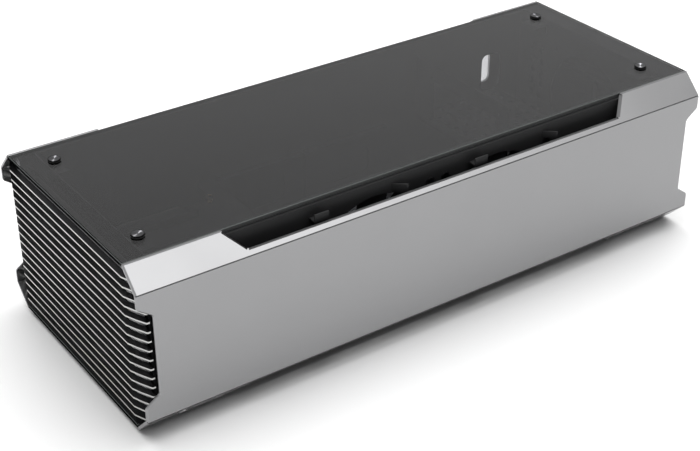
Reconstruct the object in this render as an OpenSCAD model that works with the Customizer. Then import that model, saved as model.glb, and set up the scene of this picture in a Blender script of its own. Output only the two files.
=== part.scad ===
// Slim mini-ITX computer case, lying on its side as photographed.
// X runs along the case, with the finned cover at -X and the base at +X.
// Y runs across it, with the front panel at -Y. Z points up, with one glass side up.
// The origin is on the floor under the middle of the case.

/* [Case] */
// Length of the front and rear panels
case_len = 648; // [560:1:720]
// Distance over the faces of the front and rear panels
case_depth = 274; // [268:1:300]
// Distance over the outer faces of the two glass sides
case_height = 170; // [164:1:190]
// Height of the rubber feet under the lower glass
foot_h = 5; // [4.6:0.1:12]

/* [Panels] */
// Thickness of the aluminium panels
panel_t = 3; // [2:0.1:3.6]
// Distance across the case that each sloped edge covers
bevel_run = 20; // [18:0.5:22]
// Height that each sloped edge covers
bevel_rise = 20; // [18:0.5:22]
// Width of the narrow level lip beside the glass
lip_w = 2.2; // [1.6:0.1:3]
// Distance of each end of the long slots from the panel ends
slot_inset = 94; // [84:1:114]
// Amount by which each end of a slot slants inwards
slot_slant = 16; // [8:1:24]
// Width of the strip left between a slot and the fold
slot_strip = 7.5; // [6:0.5:10]
// Depth of the notch in each end of a panel
notch_depth = 14; // [12:0.5:18]
// Height of the straight part of a notch
notch_flat = 81; // [76:1:90]
// Height of the mouth of a notch
notch_mouth = 101; // [96:1:106]
// Radius of the corners of a notch
notch_r = 4; // [2:0.5:6]
// Width of the fine groove along the folds
groove_w = 1.1; // [0.4:0.1:1.4]
// Depth of the fine groove along the folds
groove_depth = 1.7; // [0.8:0.1:1.8]
// Width of the chamfer round the outer edge of a slot
slot_chamfer = 2.4; // [0.6:0.1:2.6]
// Width of the fine chamfer along the upper and lower edges
edge_chamfer = 0.5; // [0.2:0.1:0.8]

/* [Glass] */
// Thickness of the glass sides
glass_t = 4; // [3:0.5:5]
// Gap between the glass and the panels
glass_gap = 0.4; // [0.2:0.1:0.6]
// Distance that the glass stays back from the panel ends
glass_end_gap = 0.5; // [0.3:0.1:1.5]
// Width of the ground edge of the glass
glass_chamfer = 0.6; // [0.3:0.1:1]
// Distance of the thumbscrews from the panel ends
screw_inset_x = 32.5; // [31:0.5:36]
// Distance of the thumbscrews from the faces of the panels
screw_inset_y = 55; // [48:1:60]

/* [Thumbscrews and rubber] */
// Diameter of a thumbscrew head
thumb_d = 12; // [11:0.1:14]
// Height of a thumbscrew head
thumb_h = 1.4; // [1.2:0.1:3]
// Diameter of the thread of a thumbscrew
thumb_thread_d = 4; // [3:0.5:4.5]
// Thickness of the rubber flanges above and below the glass
grommet_flange = 0.6; // [0.4:0.1:1]
// Diameter of the rubber flanges
grommet_d = 12.4; // [11:0.1:13]
// Wall of the rubber sleeve in the glass
grommet_wall = 1.4; // [1:0.1:2]
// Diameter of a rubber foot
foot_d = 18; // [12:1:26]

/* [Steel frame] */
// Thickness of the steel sheet
sheet_t = 1.2; // [1:0.1:1.6]
// Distance of the end bulkheads from the panel ends
bulkhead_inset = 24; // [22:0.5:28]
// Width of the folded flanges of the front and rear walls
flange_w = 9; // [6:0.5:12]
// Gap between the glass and the flanges under it
flange_gap = 0.6; // [0.4:0.1:1]
// Distance from one panel clip to the next
clip_pitch = 90; // [84:1:96]
// Width of a panel clip
clip_w = 15; // [10:1:20]
// Level of the board tray above the middle of the case
tray_level = -12; // [-16:1:-8]

/* [Cable outlet] */
// Width of the cable outlet
outlet_w = 27; // [20:1:34]
// Height of the cable outlet
outlet_h = 43; // [30:1:50]
// Radius of its corners
outlet_r = 7; // [3:0.5:10]
// Distance of its middle from the base end of the panels
outlet_inset = 65.5; // [60:0.5:70]
// Level of its middle above the middle of the case
outlet_level = 12.5; // [8:0.5:16]

/* [Finned end cover] */
// Number of fins
fin_count = 16; // [12:1:18]
// Distance from one fin to the next
fin_pitch = 9.48; // [8:0.02:9.6]
// Thickness of a fin
fin_t = 1.6; // [1.2:0.1:2.2]
// Depth of a fin from its bright edge to the mesh
fin_depth = 6; // [4:0.5:7]
// Distance that the first slant of a fin runs back
fin_slant_x = 3.8; // [2.5:0.1:4.5]
// Distance across the case that the first slant covers
fin_slant_y = 10; // [8:0.5:12]
// Distance that both slants of a fin run back
fin_turn_x = 9.1; // [8:0.1:9.6]
// Distance across the case that both slants cover
fin_turn_y = 21.4; // [18:0.2:24]
// Gap between the ends of the fins and the edge of the notch
fin_end_gap = 1.9; // [1.2:0.1:2.2]

/* [Fans] */
// Width of the fan frames
fan_w = 140; // [136:1:140]
// Depth of the fan frames
fan_depth = 25; // [22:1:27]
// Distance of the fan screws from the sides of the frame
fan_hole_inset = 7.75; // [6:0.05:9]
// Thinnest wall of the fan duct
fan_rim = 3; // [3:0.5:6]
// Number of fan blades
blade_count = 9; // [5:1:11]

/* [Hidden] */
$fn = 48;

// Clearances that many pieces share
over = 1;          // overrun of every cut
run_gap = 0.3;     // gap beside a piece that slides or lifts off
thread_gap = 0.1;  // gap between a screw and its hole, on the radius

// Cross-section of the shell, measured from its middle
half_l = case_len / 2;
half_d = case_depth / 2;
half_h = case_height / 2;
mid_z = foot_h + half_h;
bevel_ang = atan2(bevel_rise, bevel_run);
bevel_len = norm([bevel_run, bevel_rise]);
edge_y = half_d - bevel_run;
fold_z = half_h - bevel_rise;
face_in_y = half_d - panel_t;
fold_in_z = fold_z - panel_t * tan((90 - bevel_ang) / 2);
slope_in_y = edge_y - panel_t / sin(bevel_ang);
lip_y = edge_y - lip_w;
slot_span = bevel_len - slot_strip;
slot_half = half_l - slot_inset;
slot_corner_r = 1.5;
slot_edge = min(slot_chamfer, panel_t - edge_chamfer);

// Glass and what holds it
glass_half_d = lip_y - glass_gap;
glass_in = half_h - glass_t;
screw_x = half_l - screw_inset_x;
screw_y = half_d - screw_inset_y;
thumb_hole_gap = 0.3;          // gap round a thumbscrew in its sleeve
thumb_hole_d = thumb_thread_d + 2 * thumb_hole_gap;
thumb_bevel = 0.4;
thumb_rim = 1;                 // flat rim round the dished top of a head
thumb_dish = 0.3;
sleeve_d = thumb_hole_d + 2 * grommet_wall;
post_h = 6;
post_d = 10;
thumb_reach = 4.5;   // how far a thumbscrew goes into its post
foot_inset_x = 74;   // middle of a foot from the panel end
foot_inset_y = 46;   // middle of a foot from the panel face
foot_taper = 2.2;
foot_lead = 1;       // height of the rounded edge of a foot

// Steel frame
bulk_x = half_l - bulkhead_inset;
bulk_in = bulk_x - sheet_t;
wall_y = edge_y;
wall_in = wall_y - sheet_t;
wall_top = glass_in - flange_gap;
shelf_top = glass_in - grommet_flange - post_h;
shelf_w = 24;
shelf_reach = 17;
shelf_leaf = 10;
channel = face_in_y - wall_y;
clip_stand = 8;      // gap between a wall and the upright of a panel clip
clip_top = 75;
clip_low = 67;
clip_wing_ang = 40;
stud_d = 8;
stud_inset = 112;
stud_x = half_l - stud_inset;
stud_z = 50;

// Ports on the lower slope of the front panel
port_inset = 32;               // middle of the housing from the bulkhead
port_x = bulk_x - port_inset;
port_len = 54;
port_w = 14;
port_depth = 18;
port_mid = bevel_len / 2;      // middle of the slope
button_offset = 17;
button_x = port_x + button_offset;
button_d = 9.6;
button_flange_d = 12;
button_flange_t = 1.5;
button_proud = 0.8;
button_travel = 1.2;
button_pin_d = 4;
button_pin_len = 5.5;
usb_offset = 2;
usb_x = port_x - usb_offset;
usb_pitch = 18;
usb_w = 13;
usb_h = 5.7;
usb_len = 13;
usb_wall = 0.5;
usb_tongue = 1.9;
usb_recess = 1;                // shell ends this far below the slope's surface
wall_notch_z = 54;             // the front wall is cut away below this for the ports
wall_notch_len = 64;

// Board, slots and riser
board = 170;
board_gap = 1;
board_x = -bulk_in + board_gap;
board_hole_near_x = 6.35;
board_hole_far_x = 163.83;
board_hole_near_y = 33.02;
board_hole_far_y = 10.16;
board_hole_rear_y = 165.1;
board_holes = [[board_hole_near_x, board_hole_near_y], [board_hole_far_x, board_hole_far_y],
    [board_hole_far_x, board_hole_rear_y], [board_hole_near_x, board_hole_rear_y]];
standoff_h = 6.5;
standoff_d = 6;
standoff_hole_d = 3;
tray_len = 190;
tray_arm = 20;                 // width of the arms that reach the walls
tray_gap = 2.8;                // gap between the tray and the fans
tray_front = -(wall_in - fan_depth - tray_gap);
tray_rear_gap = 31.8;          // gap between the tray and the rear wall
tray_rear = wall_in - tray_rear_gap;
tray_window_len = 76;
tray_window_w = 64;
tray_window_r = 8;
io_open_w = 158.75;
io_open_h = 44.45;
io_open_drop = 2;              // the opening starts this far below the board
slot_count = 3;
slot_pitch = 20.32;
slot_open_h = 14;
slot_first = 13;               // first slot's middle below the tray
cover_t = 1;
cover_w = 18;
cover_gap = 2;                 // gap between a slot cover and the glass brackets
cover_tail = 18;               // screwed end of a slot cover beside its slot
cover_vents = 7;
cover_end = screw_y - shelf_w / 2 - cover_gap;
slot_half_w = cover_end - cover_tail;
slot_open_w = 2 * slot_half_w;
slot_screw_d = 3;
slot_screw_head_d = 6;
slot_screw_head_h = 2;
riser_len = 89;
riser_inset = 95.8;            // middle of the riser from the bulkhead
riser_x = -bulk_in + riser_inset;
riser_back = 14;               // face of the riser bracket from the tray's rear edge
riser_y = tray_rear - riser_back;
riser_drop = 17;               // middle of the socket below the tray
riser_w = 7.5;
riser_h = 11;
riser_bracket_len = 104;
riser_bracket_h = 32;
riser_leg = 20;
ribbon_t = 1;
ribbon_w = 70;
ribbon_gap = 4;                // middle of the ribbon from the tray's rear edge
ribbon_out = tray_rear + ribbon_gap;
ribbon_r = 8;
plug_h = 8;
plug_w = 12;
plug_back = 24;                // front of the plug from the tray's rear edge
plug_y = tray_rear - plug_back;

// Power supply bracket
psu_w = 125;
psu_h = 63.5;
psu_inset = 148.8;             // face of the bracket from the bulkhead
psu_x = bulk_in - psu_inset;
psu_len = 120;
psu_rear_gap = 24;             // gap between a power supply and the rear wall
psu_vent_from = 18;            // first row of vents from the face of the bracket
psu_rim = 10;
psu_flank = 8;
psu_vent_d = 6;
psu_vent_pitch = 15;
psu_vent_cols = 7;
psu_vent_rows = 10;
psu_hole_d = 3.4;
psu_hole_inset = 6;

// Drive trays
ssd_len = 104;
ssd_w = 68;
ssd_lip = 9;
ssd_t = 1;
ssd_gap = 6;
ssd_mid_level = -44.5;
ssd_window_len = 62;
ssd_window_w = 34;

// Fans
fan_x_gap = 1;                 // half of the gap between the fans
fan_x = fan_w / 2 + fan_x_gap;
fan_pitch = fan_w - 2 * fan_hole_inset;
fan_bore = fan_w - 2 * fan_rim;
fan_flange = 4;
fan_corner_r = 8;
fan_hole_d = 4.4;
fan_screw_d = 4;
fan_screw_head_d = 8;
fan_screw_head_h = 2;
fan_screw_len = 10;
fan_wall_d = 3;                // wall of the duct between the flanges
hub_d = 44;
hub_len = 16;
hub_wall = 1.8;
motor_d = 40;
motor_t = 4;
motor_neck_d = 16;
strut_w = 5;
strut_count = 4;
shaft_d = 4;
shaft_gap = 0.05;
blade_gap = 1.6;               // gap between a blade's tip and the duct
blade_t = 1.5;
blade_curve_r = 26;
blade_pitch_ang = 42;
blade_len = 15;                // length of a blade along the shaft
rotor_inset = 3.5;             // from the wall to the rotor

// Finned end cover
cover_half = face_in_y - run_gap;
cover_front = -half_l;
cover_back = -(half_l - notch_depth + fin_end_gap);
fin_turn_r = 1.6;
fin_cheek = 3;                 // depth of a fin beside the panels
mesh_t = 0.8;
mesh_under = 0.64;             // reach of the mesh below the lowest fin
mesh_low = -(fin_pitch * (fin_count - 1) / 2 + fin_t / 2) - mesh_under;
frame_ring = 8;
frame_ring_x = -(bulk_x + run_gap);
frame_cheek = 3;
frame_recess = 0.7;            // the cheeks lie this far behind the fins
frame_side = 27;               // opening of the cover's frame from the panel faces
frame_open_y = half_d - frame_side;
frame_top = 15;                // opening of the cover's frame from the glass faces
frame_open_z = half_h - frame_top;
cover_lip_in = 1.2;            // the lower lip starts this far behind the fins
peg_d = 5;
peg_len = 6;
peg_gap = 0.5;
peg_inset = 35;
peg_y = half_d - peg_inset;
peg_z = (frame_open_z + glass_in) / 2 - run_gap;

// Base end
fan_base_d = 115;
fan_base_pitch = 105;
fan_base_hole_d = 4.4;
base_vent_d = 8;
base_vent_pitch = 14;
base_vent_y = 76;
base_vent_rows = 7;
filter_x = half_l - notch_depth + 0.5;
filter_t = 5;
filter_half_z = notch_flat / 2 - 1;
filter_tab_w = 30;
filter_tab_gap = 3;            // the pull tab ends this far inside the panel face
filter_rim = 7;
filter_bar = 3;
filter_mesh_t = 0.8;
base_lip = 6.7;                // thickness of the base frame outside the filter
base_lip_over = 2.5;
base_inset_y = 13.5;           // side of the base frame from the panel faces
base_half_y = half_d - base_inset_y;
base_rim_y = 5.5;
base_open_half_y = base_half_y - base_rim_y;
base_shell = 2.5;
filter_front = -(base_half_y - base_shell - run_gap);
pad_len = 36;
pad_w = 12;
pad_y = 92;
arc_steps = 6;

// Points of an outline whose corners are rounded; each corner is [x, y, radius]
function unit(v) = v / norm(v);
function corner_arc(p, before, after, r) =
    let (a = unit(before - p), b = unit(after - p),
        half = acos(a * b) / 2,
        mid = p + unit(a + b) * r / sin(half),
        from = p + a * r / tan(half) - mid,
        to = p + b * r / tan(half) - mid,
        start = atan2(from.y, from.x),
        turn = atan2(from.x * to.y - from.y * to.x, from * to))
    [for (k = [0 : arc_steps])
        mid + r * [cos(start + turn * k / arc_steps), sin(start + turn * k / arc_steps)]];
function rounded(corners) = [for (i = [0 : len(corners) - 1])
    let (n = len(corners), c = corners[i], p = [c.x, c.y],
        q = corners[(i + n - 1) % n], s = corners[(i + 1) % n])
    each c[2] > 0 ? corner_arc(p, [q.x, q.y], [s.x, s.y], c[2]) : [p]];
function box_corners(w, h, r) = [[-w / 2, -h / 2, r], [w / 2, -h / 2, r],
    [w / 2, h / 2, r], [-w / 2, h / 2, r]];

// Half of the outline is given for positive values, and the other half mirrors it
function both_y(pts) = concat(pts, [for (i = [len(pts) - 1 : -1 : 0]) [pts[i].x, -pts[i].y]]);

// Inside of the shell in the YZ plane, with a clearance all round
function inside_profile(gap) =
    let (top = glass_in - gap,
        slope_y = slope_in_y - gap / sin(bevel_ang) + (half_h - top) * bevel_run / bevel_rise,
        fold = fold_in_z - gap * tan((90 - bevel_ang) / 2))
    [[slope_y, top], [face_in_y - gap, fold], [face_in_y - gap, -fold], [slope_y, -top],
    [-slope_y, -top], [-(face_in_y - gap), -fold], [-(face_in_y - gap), fold], [-slope_y, top]];

module at_middle() translate([0, 0, mid_z]) children();

// Extrudes a YZ outline along X from one place to another
module along_x(from, to) translate([from, 0, 0]) rotate([90, 0, 90])
    linear_extrude(to - from) children();

// Extrudes an XZ outline along Y from one place to another
module along_y(from, to) translate([0, to, 0]) rotate([90, 0, 0])
    linear_extrude(to - from) children();

module block(low, high) translate(low) cube(high - low);

// Upper slope of the rear panel: X stays, Y runs down the slope, Z points out of it
module on_slope() translate([0, edge_y, half_h]) rotate([-bevel_ang, 0, 0]) children();

module lower_front_slope() mirror([0, 1, 0]) mirror([0, 0, 1]) on_slope() children();

module both_ends() {
    children();
    mirror([1, 0, 0]) children();
}

module both_faces() {
    children();
    mirror([0, 0, 1]) children();
}

module at_glass_screws() for (sx = [-1, 1], sy = [-1, 1])
    translate([sx * screw_x, sy * screw_y, 0]) children();

// Panels: one folded sheet, drawn at the rear
module panel_section() {
    lip_in_z = half_h - (lip_y - slope_in_y) * bevel_rise / bevel_run;
    cut = edge_chamfer;
    polygon([[edge_y - cut / 2, half_h], [edge_y + cut, half_h - cut * bevel_rise / bevel_run],
        [half_d, fold_z], [half_d, -fold_z],
        [edge_y + cut, -half_h + cut * bevel_rise / bevel_run], [edge_y - cut / 2, -half_h],
        [lip_y, -half_h], [lip_y, -lip_in_z], [face_in_y, -fold_in_z],
        [face_in_y, fold_in_z], [lip_y, lip_in_z], [lip_y, half_h]]);
}

module panel_outline() {
    x_flat = half_l - notch_depth;
    end = [[half_l, -half_h, 0], [half_l, -notch_mouth / 2, notch_r],
        [x_flat, -notch_flat / 2, notch_r], [x_flat, notch_flat / 2, notch_r],
        [half_l, notch_mouth / 2, notch_r], [half_l, half_h, 0]];
    other_end = [for (i = [len(end) - 1 : -1 : 0]) [-end[i].x, end[i].y, end[i][2]]];
    polygon(rounded(concat(end, other_end)));
}

module slope_slot() {
    slant = slot_slant / slot_span;
    reach = lip_w + panel_t + over;
    on_slope() {
        translate([0, 0, -panel_t - over]) linear_extrude(panel_t + 2 * over)
            polygon(rounded([[-slot_half - reach * slant, -reach, 0],
                [slot_half + reach * slant, -reach, 0],
                [slot_half - slot_slant, slot_span, slot_corner_r],
                [-slot_half + slot_slant, slot_span, slot_corner_r]]));
        edge_cut([-slot_half + slot_slant, slot_span], [slot_half - slot_slant, slot_span]);
        for (sx = [-1, 1]) edge_cut([sx * slot_half, 0],
            [sx * (slot_half - slot_slant), slot_span]);
    }
}

// Square bar along a line on the slope, turned so that it chamfers the edge there
module edge_cut(from, to) {
    side = slot_edge * sqrt(2);
    translate([(from.x + to.x) / 2, (from.y + to.y) / 2, 0])
        rotate([0, 0, atan2(to.y - from.y, to.x - from.x)]) rotate([45, 0, 0])
        cube([norm(to - from), side, side], center = true);
}

module fold_groove() translate([0, half_d, fold_z]) rotate([bevel_ang / 2, 0, 0])
    cube([case_len + 2 * over, 2 * groove_depth, groove_w], center = true);

module panel_sheet() {
    difference() {
        intersection() {
            along_x(-half_l, half_l) panel_section();
            along_y(lip_y - over, half_d + over) panel_outline();
        }
        both_faces() {
            slope_slot();
            fold_groove();
        }
    }
}

module front_panel() color("silver") at_middle() difference() {
    mirror([0, 1, 0]) panel_sheet();
    port_cuts();
}

module rear_panel() color("silver") at_middle() difference() {
    panel_sheet();
    outlet_cut(face_in_y);
}

module outlet_cut(y) along_y(y - over, y + panel_t + over)
    translate([half_l - outlet_inset, outlet_level])
    polygon(rounded(box_corners(outlet_w, outlet_h, outlet_r)));

module port_cuts() {
    rim = 2 * run_gap;
    lower_front_slope() {
        translate([-button_x, port_mid, -panel_t - over])
            cylinder(d = button_d + rim, h = panel_t + 2 * over);
        for (k = [0, 1]) translate([-usb_x + k * usb_pitch, port_mid, -panel_t - over])
            linear_extrude(panel_t + 2 * over)
            polygon(rounded(box_corners(usb_w + rim, usb_h + rim, 2 * run_gap)));
    }
}

// Glass sides, drawn as the upper one
module glass() {
    end = half_l - glass_end_gap;
    c = glass_chamfer;
    difference() {
        intersection() {
            along_x(-end, end) polygon([[glass_half_d, glass_in + c],
                [glass_half_d, half_h - c], [glass_half_d - c, half_h],
                [-glass_half_d + c, half_h], [-glass_half_d, half_h - c],
                [-glass_half_d, glass_in + c], [-glass_half_d + c, glass_in],
                [glass_half_d - c, glass_in]]);
            along_y(-glass_half_d, glass_half_d) polygon([[end, glass_in + c],
                [end, half_h - c], [end - c, half_h], [-end + c, half_h],
                [-end, half_h - c], [-end, glass_in + c], [-end + c, glass_in],
                [end - c, glass_in]]);
        }
        at_glass_screws() translate([0, 0, glass_in - over])
            cylinder(d = sleeve_d, h = glass_t + 2 * over);
    }
}

module upper_glass() color("dimgray", 0.5) at_middle() glass();

module lower_glass() color("dimgray", 0.5) at_middle() mirror([0, 0, 1]) glass();

// Rubber sleeves that sit in the holes of the glass
module grommet() difference() {
    union() {
        translate([0, 0, glass_in - grommet_flange])
            cylinder(d = sleeve_d, h = glass_t + 2 * grommet_flange);
        for (z = [glass_in - grommet_flange, half_h])
            translate([0, 0, z]) cylinder(d = grommet_d, h = grommet_flange);
    }
    translate([0, 0, glass_in - grommet_flange - over])
        cylinder(d = thumb_hole_d, h = glass_t + 2 * (grommet_flange + over));
}

module upper_grommets() color("black") at_middle() at_glass_screws() grommet();

module lower_grommets() color("black") at_middle() mirror([0, 0, 1]) at_glass_screws() grommet();

// Turned screw with a flat head, a fine step round it and a shallow dish on top
module thumbscrew() {
    r = thumb_d / 2;
    seat = half_h + grommet_flange;
    top = seat + thumb_h;
    bevel = thumb_bevel;
    low = shelf_top + post_h - thumb_reach;
    rotate_extrude($fn = 64) polygon([[0, low], [thumb_thread_d / 2 - bevel, low],
        [thumb_thread_d / 2, low + bevel], [thumb_thread_d / 2, seat], [r - bevel, seat],
        [r, seat + bevel], [r, top - bevel], [r - bevel, top], [r - bevel - thumb_rim, top],
        [0, top - thumb_dish]]);
}

module upper_thumbscrews() color("black") at_middle() at_glass_screws() thumbscrew();

module lower_thumbscrews() color("black") at_middle() mirror([0, 0, 1])
    at_glass_screws() thumbscrew();

// Round feet under the lower glass, which it stands on as photographed
module rubber_feet() color("black") for (sx = [-1, 1], sy = [-1, 1])
    translate([sx * (half_l - foot_inset_x), sy * (half_d - foot_inset_y), 0])
    rotate_extrude() polygon([[0, 0], [foot_d / 2 - foot_taper, 0],
        [foot_d / 2 - foot_taper / 2, foot_lead], [foot_d / 2, foot_h], [0, foot_h]]);

// Steel walls
module clip_tab() {
    block([-clip_w / 2, wall_y - sheet_t / 2, clip_low],
        [clip_w / 2, wall_y + clip_stand, clip_low + sheet_t]);
    block([-clip_w / 2, wall_y + clip_stand, clip_low],
        [clip_w / 2, wall_y + clip_stand + sheet_t, clip_top]);
}

module clip_wing() intersection() {
    translate([0, wall_in, clip_low]) rotate([0, 0, clip_wing_ang])
        cube([clip_w + 2 * sheet_t, sheet_t, clip_top - clip_low - sheet_t]);
    block([-clip_w, wall_in, clip_low], [clip_w, wall_y + clip_stand + sheet_t, clip_top]);
}

module wall_clips() for (k = [0 : 1]) {
    translate([(2 * k - 1.5) * clip_pitch, 0, 0]) clip_tab();
    translate([(2 * k - 0.5) * clip_pitch - clip_w / 2, 0, 0]) clip_wing();
}

// A wall with its folded flanges and clips, drawn at the rear
module wall() {
    block([-bulk_x, wall_in, -wall_top], [bulk_x, wall_y, wall_top]);
    both_faces() {
        block([-bulk_in, wall_y - flange_w, wall_top - sheet_t], [bulk_in, wall_y, wall_top]);
        wall_clips();
    }
}

module front_wall() color("#202020") at_middle() difference() {
    mirror([0, 1, 0]) wall();
    for (sx = [-1, 1]) translate([sx * fan_x, -wall_in, 0]) rotate([90, 0, 0]) {
        translate([0, 0, -over]) cylinder(d = fan_bore, h = sheet_t + 2 * over, $fn = 96);
        for (hx = [-1, 1], hz = [-1, 1])
            translate([hx * fan_pitch / 2, hz * fan_pitch / 2, -over])
            cylinder(d = fan_hole_d, h = sheet_t + 2 * over);
    }
    block([-bulk_x - over, -wall_y - over, -wall_top - over],
        [-bulk_x + wall_notch_len, -wall_y + flange_w + over, -wall_notch_z]);
}

module rear_wall() color("#202020") at_middle() difference() {
    wall();
    outlet_cut(wall_in);
}

// Angles at the corners of the bulkheads that carry the posts of the glass
module glass_brackets() color("#202020") at_middle() both_ends() both_faces()
    for (sy = [-1, 1]) difference() {
        translate([0, sy * screw_y - shelf_w / 2, 0]) {
            block([bulk_in - shelf_reach, 0, shelf_top - sheet_t],
                [bulk_in, shelf_w, shelf_top]);
            block([bulk_in - sheet_t, 0, shelf_top - shelf_leaf],
                [bulk_in, shelf_w, shelf_top]);
        }
        translate([screw_x, sy * screw_y, shelf_top - sheet_t - over])
            cylinder(d = thumb_hole_d, h = sheet_t + 2 * over);
    }

module bulkhead_plate() block([bulk_in, -wall_in, -wall_top], [bulk_x, wall_in, wall_top]);

module io_bulkhead() color("#202020") at_middle() difference() {
    mirror([1, 0, 0]) bulkhead_plate();
    io_low = tray_level + standoff_h - io_open_drop;
    block([-bulk_x - over, -io_open_w / 2, io_low],
        [-bulk_in + over, io_open_w / 2, io_low + io_open_h]);
    for (k = [0 : slot_count - 1]) {
        z = tray_level - slot_first - k * slot_pitch;
        block([-bulk_x - over, -slot_half_w, z - slot_open_h / 2],
            [-bulk_in + over, slot_half_w, z + slot_open_h / 2]);
        translate([-bulk_x - over, slot_screw_y, z]) rotate([0, 90, 0])
            cylinder(d = slot_screw_d + 2 * thread_gap, h = sheet_t + 2 * over);
    }
    for (sy = [-1, 1], sz = [-1, 1]) translate([-bulk_x - over, sy * peg_y, sz * peg_z])
        rotate([0, 90, 0]) cylinder(d = peg_d + 2 * peg_gap, h = sheet_t + 2 * over);
}

module base_bulkhead() color("#202020") at_middle() difference() {
    bulkhead_plate();
    translate([bulk_in - over, 0, 0]) rotate([0, 90, 0]) {
        cylinder(d = fan_base_d, h = sheet_t + 2 * over, $fn = 96);
        for (hy = [-1, 1], hz = [-1, 1])
            translate([hz * fan_base_pitch / 2, hy * fan_base_pitch / 2, 0])
            cylinder(d = fan_base_hole_d, h = sheet_t + 2 * over);
        for (sy = [-1, 1], row = [0 : base_vent_rows - 1], col = [0, 1])
            translate([(row - (base_vent_rows - 1) / 2) * base_vent_pitch,
                sy * (base_vent_y + col * base_vent_pitch), 0])
            cylinder(d = base_vent_d, h = sheet_t + 2 * over);
    }
}

// Threaded posts for the thumbscrews
module glass_posts() color("#303030") at_middle() both_faces() at_glass_screws()
    translate([0, 0, shelf_top]) difference() {
        cylinder(d = post_d, h = post_h);
        translate([0, 0, -over])
            cylinder(d = thumb_thread_d + 2 * thread_gap, h = post_h + 2 * over);
    }

// Spacers between the walls and the panels
module panel_studs() for (x = [-stud_x, 0, stud_x], z = [-stud_z, stud_z])
    translate([x, wall_y, z]) rotate([-90, 0, 0]) {
        cylinder(d = stud_d, h = channel);
        cylinder(d = stud_d + 2 * sheet_t, h = sheet_t);
    }

module front_panel_studs() color("#303030") at_middle() mirror([0, 1, 0]) panel_studs();

module rear_panel_studs() color("#303030") at_middle() panel_studs();

// Board tray with its standoffs
module at_board_holes() for (h = board_holes)
    translate([board_x + h.x, h.y - board / 2, tray_level]) children();

module board_tray() color("#202020") at_middle() difference() {
    union() {
        block([-bulk_in, tray_front, tray_level - sheet_t],
            [-bulk_in + tray_len, tray_rear, tray_level]);
        block([-bulk_in + tray_len - sheet_t, tray_front, tray_level - flange_w],
            [-bulk_in + tray_len, tray_rear, tray_level]);
        for (x = [-bulk_in, -bulk_in + tray_len - tray_arm])
            block([x, tray_rear - over, tray_level - sheet_t],
                [x + tray_arm, wall_in, tray_level]);
        block([-bulk_in, -wall_in, tray_level - sheet_t],
            [-bulk_in + tray_arm, tray_front + over, tray_level]);
    }
    at_board_holes() translate([0, 0, -sheet_t - over])
        cylinder(d = standoff_hole_d + 6 * thread_gap, h = sheet_t + 2 * over);
    translate([board_x + board / 2, 0, tray_level - sheet_t - over])
        linear_extrude(sheet_t + 2 * over)
        polygon(rounded(box_corners(tray_window_len, tray_window_w, tray_window_r)));
}

module board_standoffs() color("goldenrod") at_middle() at_board_holes() difference() {
    rotate([0, 0, 30]) cylinder(d = standoff_d, h = standoff_h, $fn = 6);
    translate([0, 0, -over])
        cylinder(d = standoff_hole_d, h = standoff_h + 2 * over, $fn = 24);
}

// Slot covers lie inside the bulkhead, each held by one screw
slot_screw_y = cover_end - cover_w / 3;

module at_slots() for (k = [0 : slot_count - 1])
    translate([-bulk_in, 0, tray_level - slot_first - k * slot_pitch]) children();

module slot_covers() color("#202020") at_middle() at_slots() difference() {
    block([0, -slot_half_w - cover_w / 6, -cover_w / 2], [cover_t, cover_end, cover_w / 2]);
    pitch = slot_open_w / (cover_vents + 1);
    half_w = min(slot_open_h / 4, pitch / 3);
    for (k = [0 : cover_vents - 1]) {
        y = (k - (cover_vents - 1) / 2) * pitch;
        block([-over, y - half_w, -slot_open_h / 4], [cover_t + over, y + half_w, slot_open_h / 4]);
    }
    translate([-over, slot_screw_y, 0]) rotate([0, 90, 0])
        cylinder(d = slot_screw_d + 2 * thread_gap, h = cover_t + 2 * over);
}

module slot_cover_screws() color("#404040") at_middle() at_slots()
    translate([0, slot_screw_y, 0]) rotate([0, 90, 0]) {
        translate([0, 0, -sheet_t]) cylinder(d = slot_screw_d, h = sheet_t + cover_t);
        translate([0, 0, cover_t]) cylinder(d = slot_screw_head_d, h = slot_screw_head_h);
    }

// Power supply bracket: a vented shelf with an upright face
module psu_bracket() color("#202020") at_middle() {
    face_top = tray_level + psu_h + psu_flank;
    mid_y = wall_in - psu_w / 2 - psu_rear_gap;
    low_y = mid_y - psu_w / 2 - psu_flank;
    difference() {
        block([psu_x, low_y, tray_level - sheet_t], [psu_x + psu_len, wall_in, tray_level]);
        for (i = [0 : psu_vent_cols - 1], j = [0 : psu_vent_rows - 1])
            translate([psu_x + psu_vent_from + psu_vent_pitch * i,
                low_y + psu_vent_pitch * (j + 1), tray_level - sheet_t - over])
            cylinder(d = psu_vent_d, h = sheet_t + 2 * over, $fn = 24);
    }
    difference() {
        block([psu_x, low_y, tray_level - sheet_t], [psu_x + sheet_t, wall_in, face_top]);
        block([psu_x - over, mid_y - psu_w / 2 + psu_rim, tray_level + psu_rim],
            [psu_x + sheet_t + over, mid_y + psu_w / 2 - psu_rim,
            tray_level + psu_h - psu_rim]);
        for (sy = [-1, 1], sz = [-1, 1]) translate([psu_x - over,
            mid_y + sy * (psu_w / 2 - psu_hole_inset),
            tray_level + psu_h / 2 + sz * (psu_h / 2 - psu_hole_inset)])
            rotate([0, 90, 0]) cylinder(d = psu_hole_d, h = sheet_t + 2 * over, $fn = 24);
    }
}

// Riser for the graphics card, under the tray
module riser_bracket() color("#202020") at_middle() {
    under = tray_level - sheet_t;
    low = under - riser_bracket_h;
    from = riser_x - riser_bracket_len / 2;
    to = riser_x + riser_bracket_len / 2;
    block([from, riser_y - riser_leg, under - sheet_t], [to, riser_y + sheet_t, under]);
    block([from, riser_y, low], [to, riser_y + sheet_t, under]);
}

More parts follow.
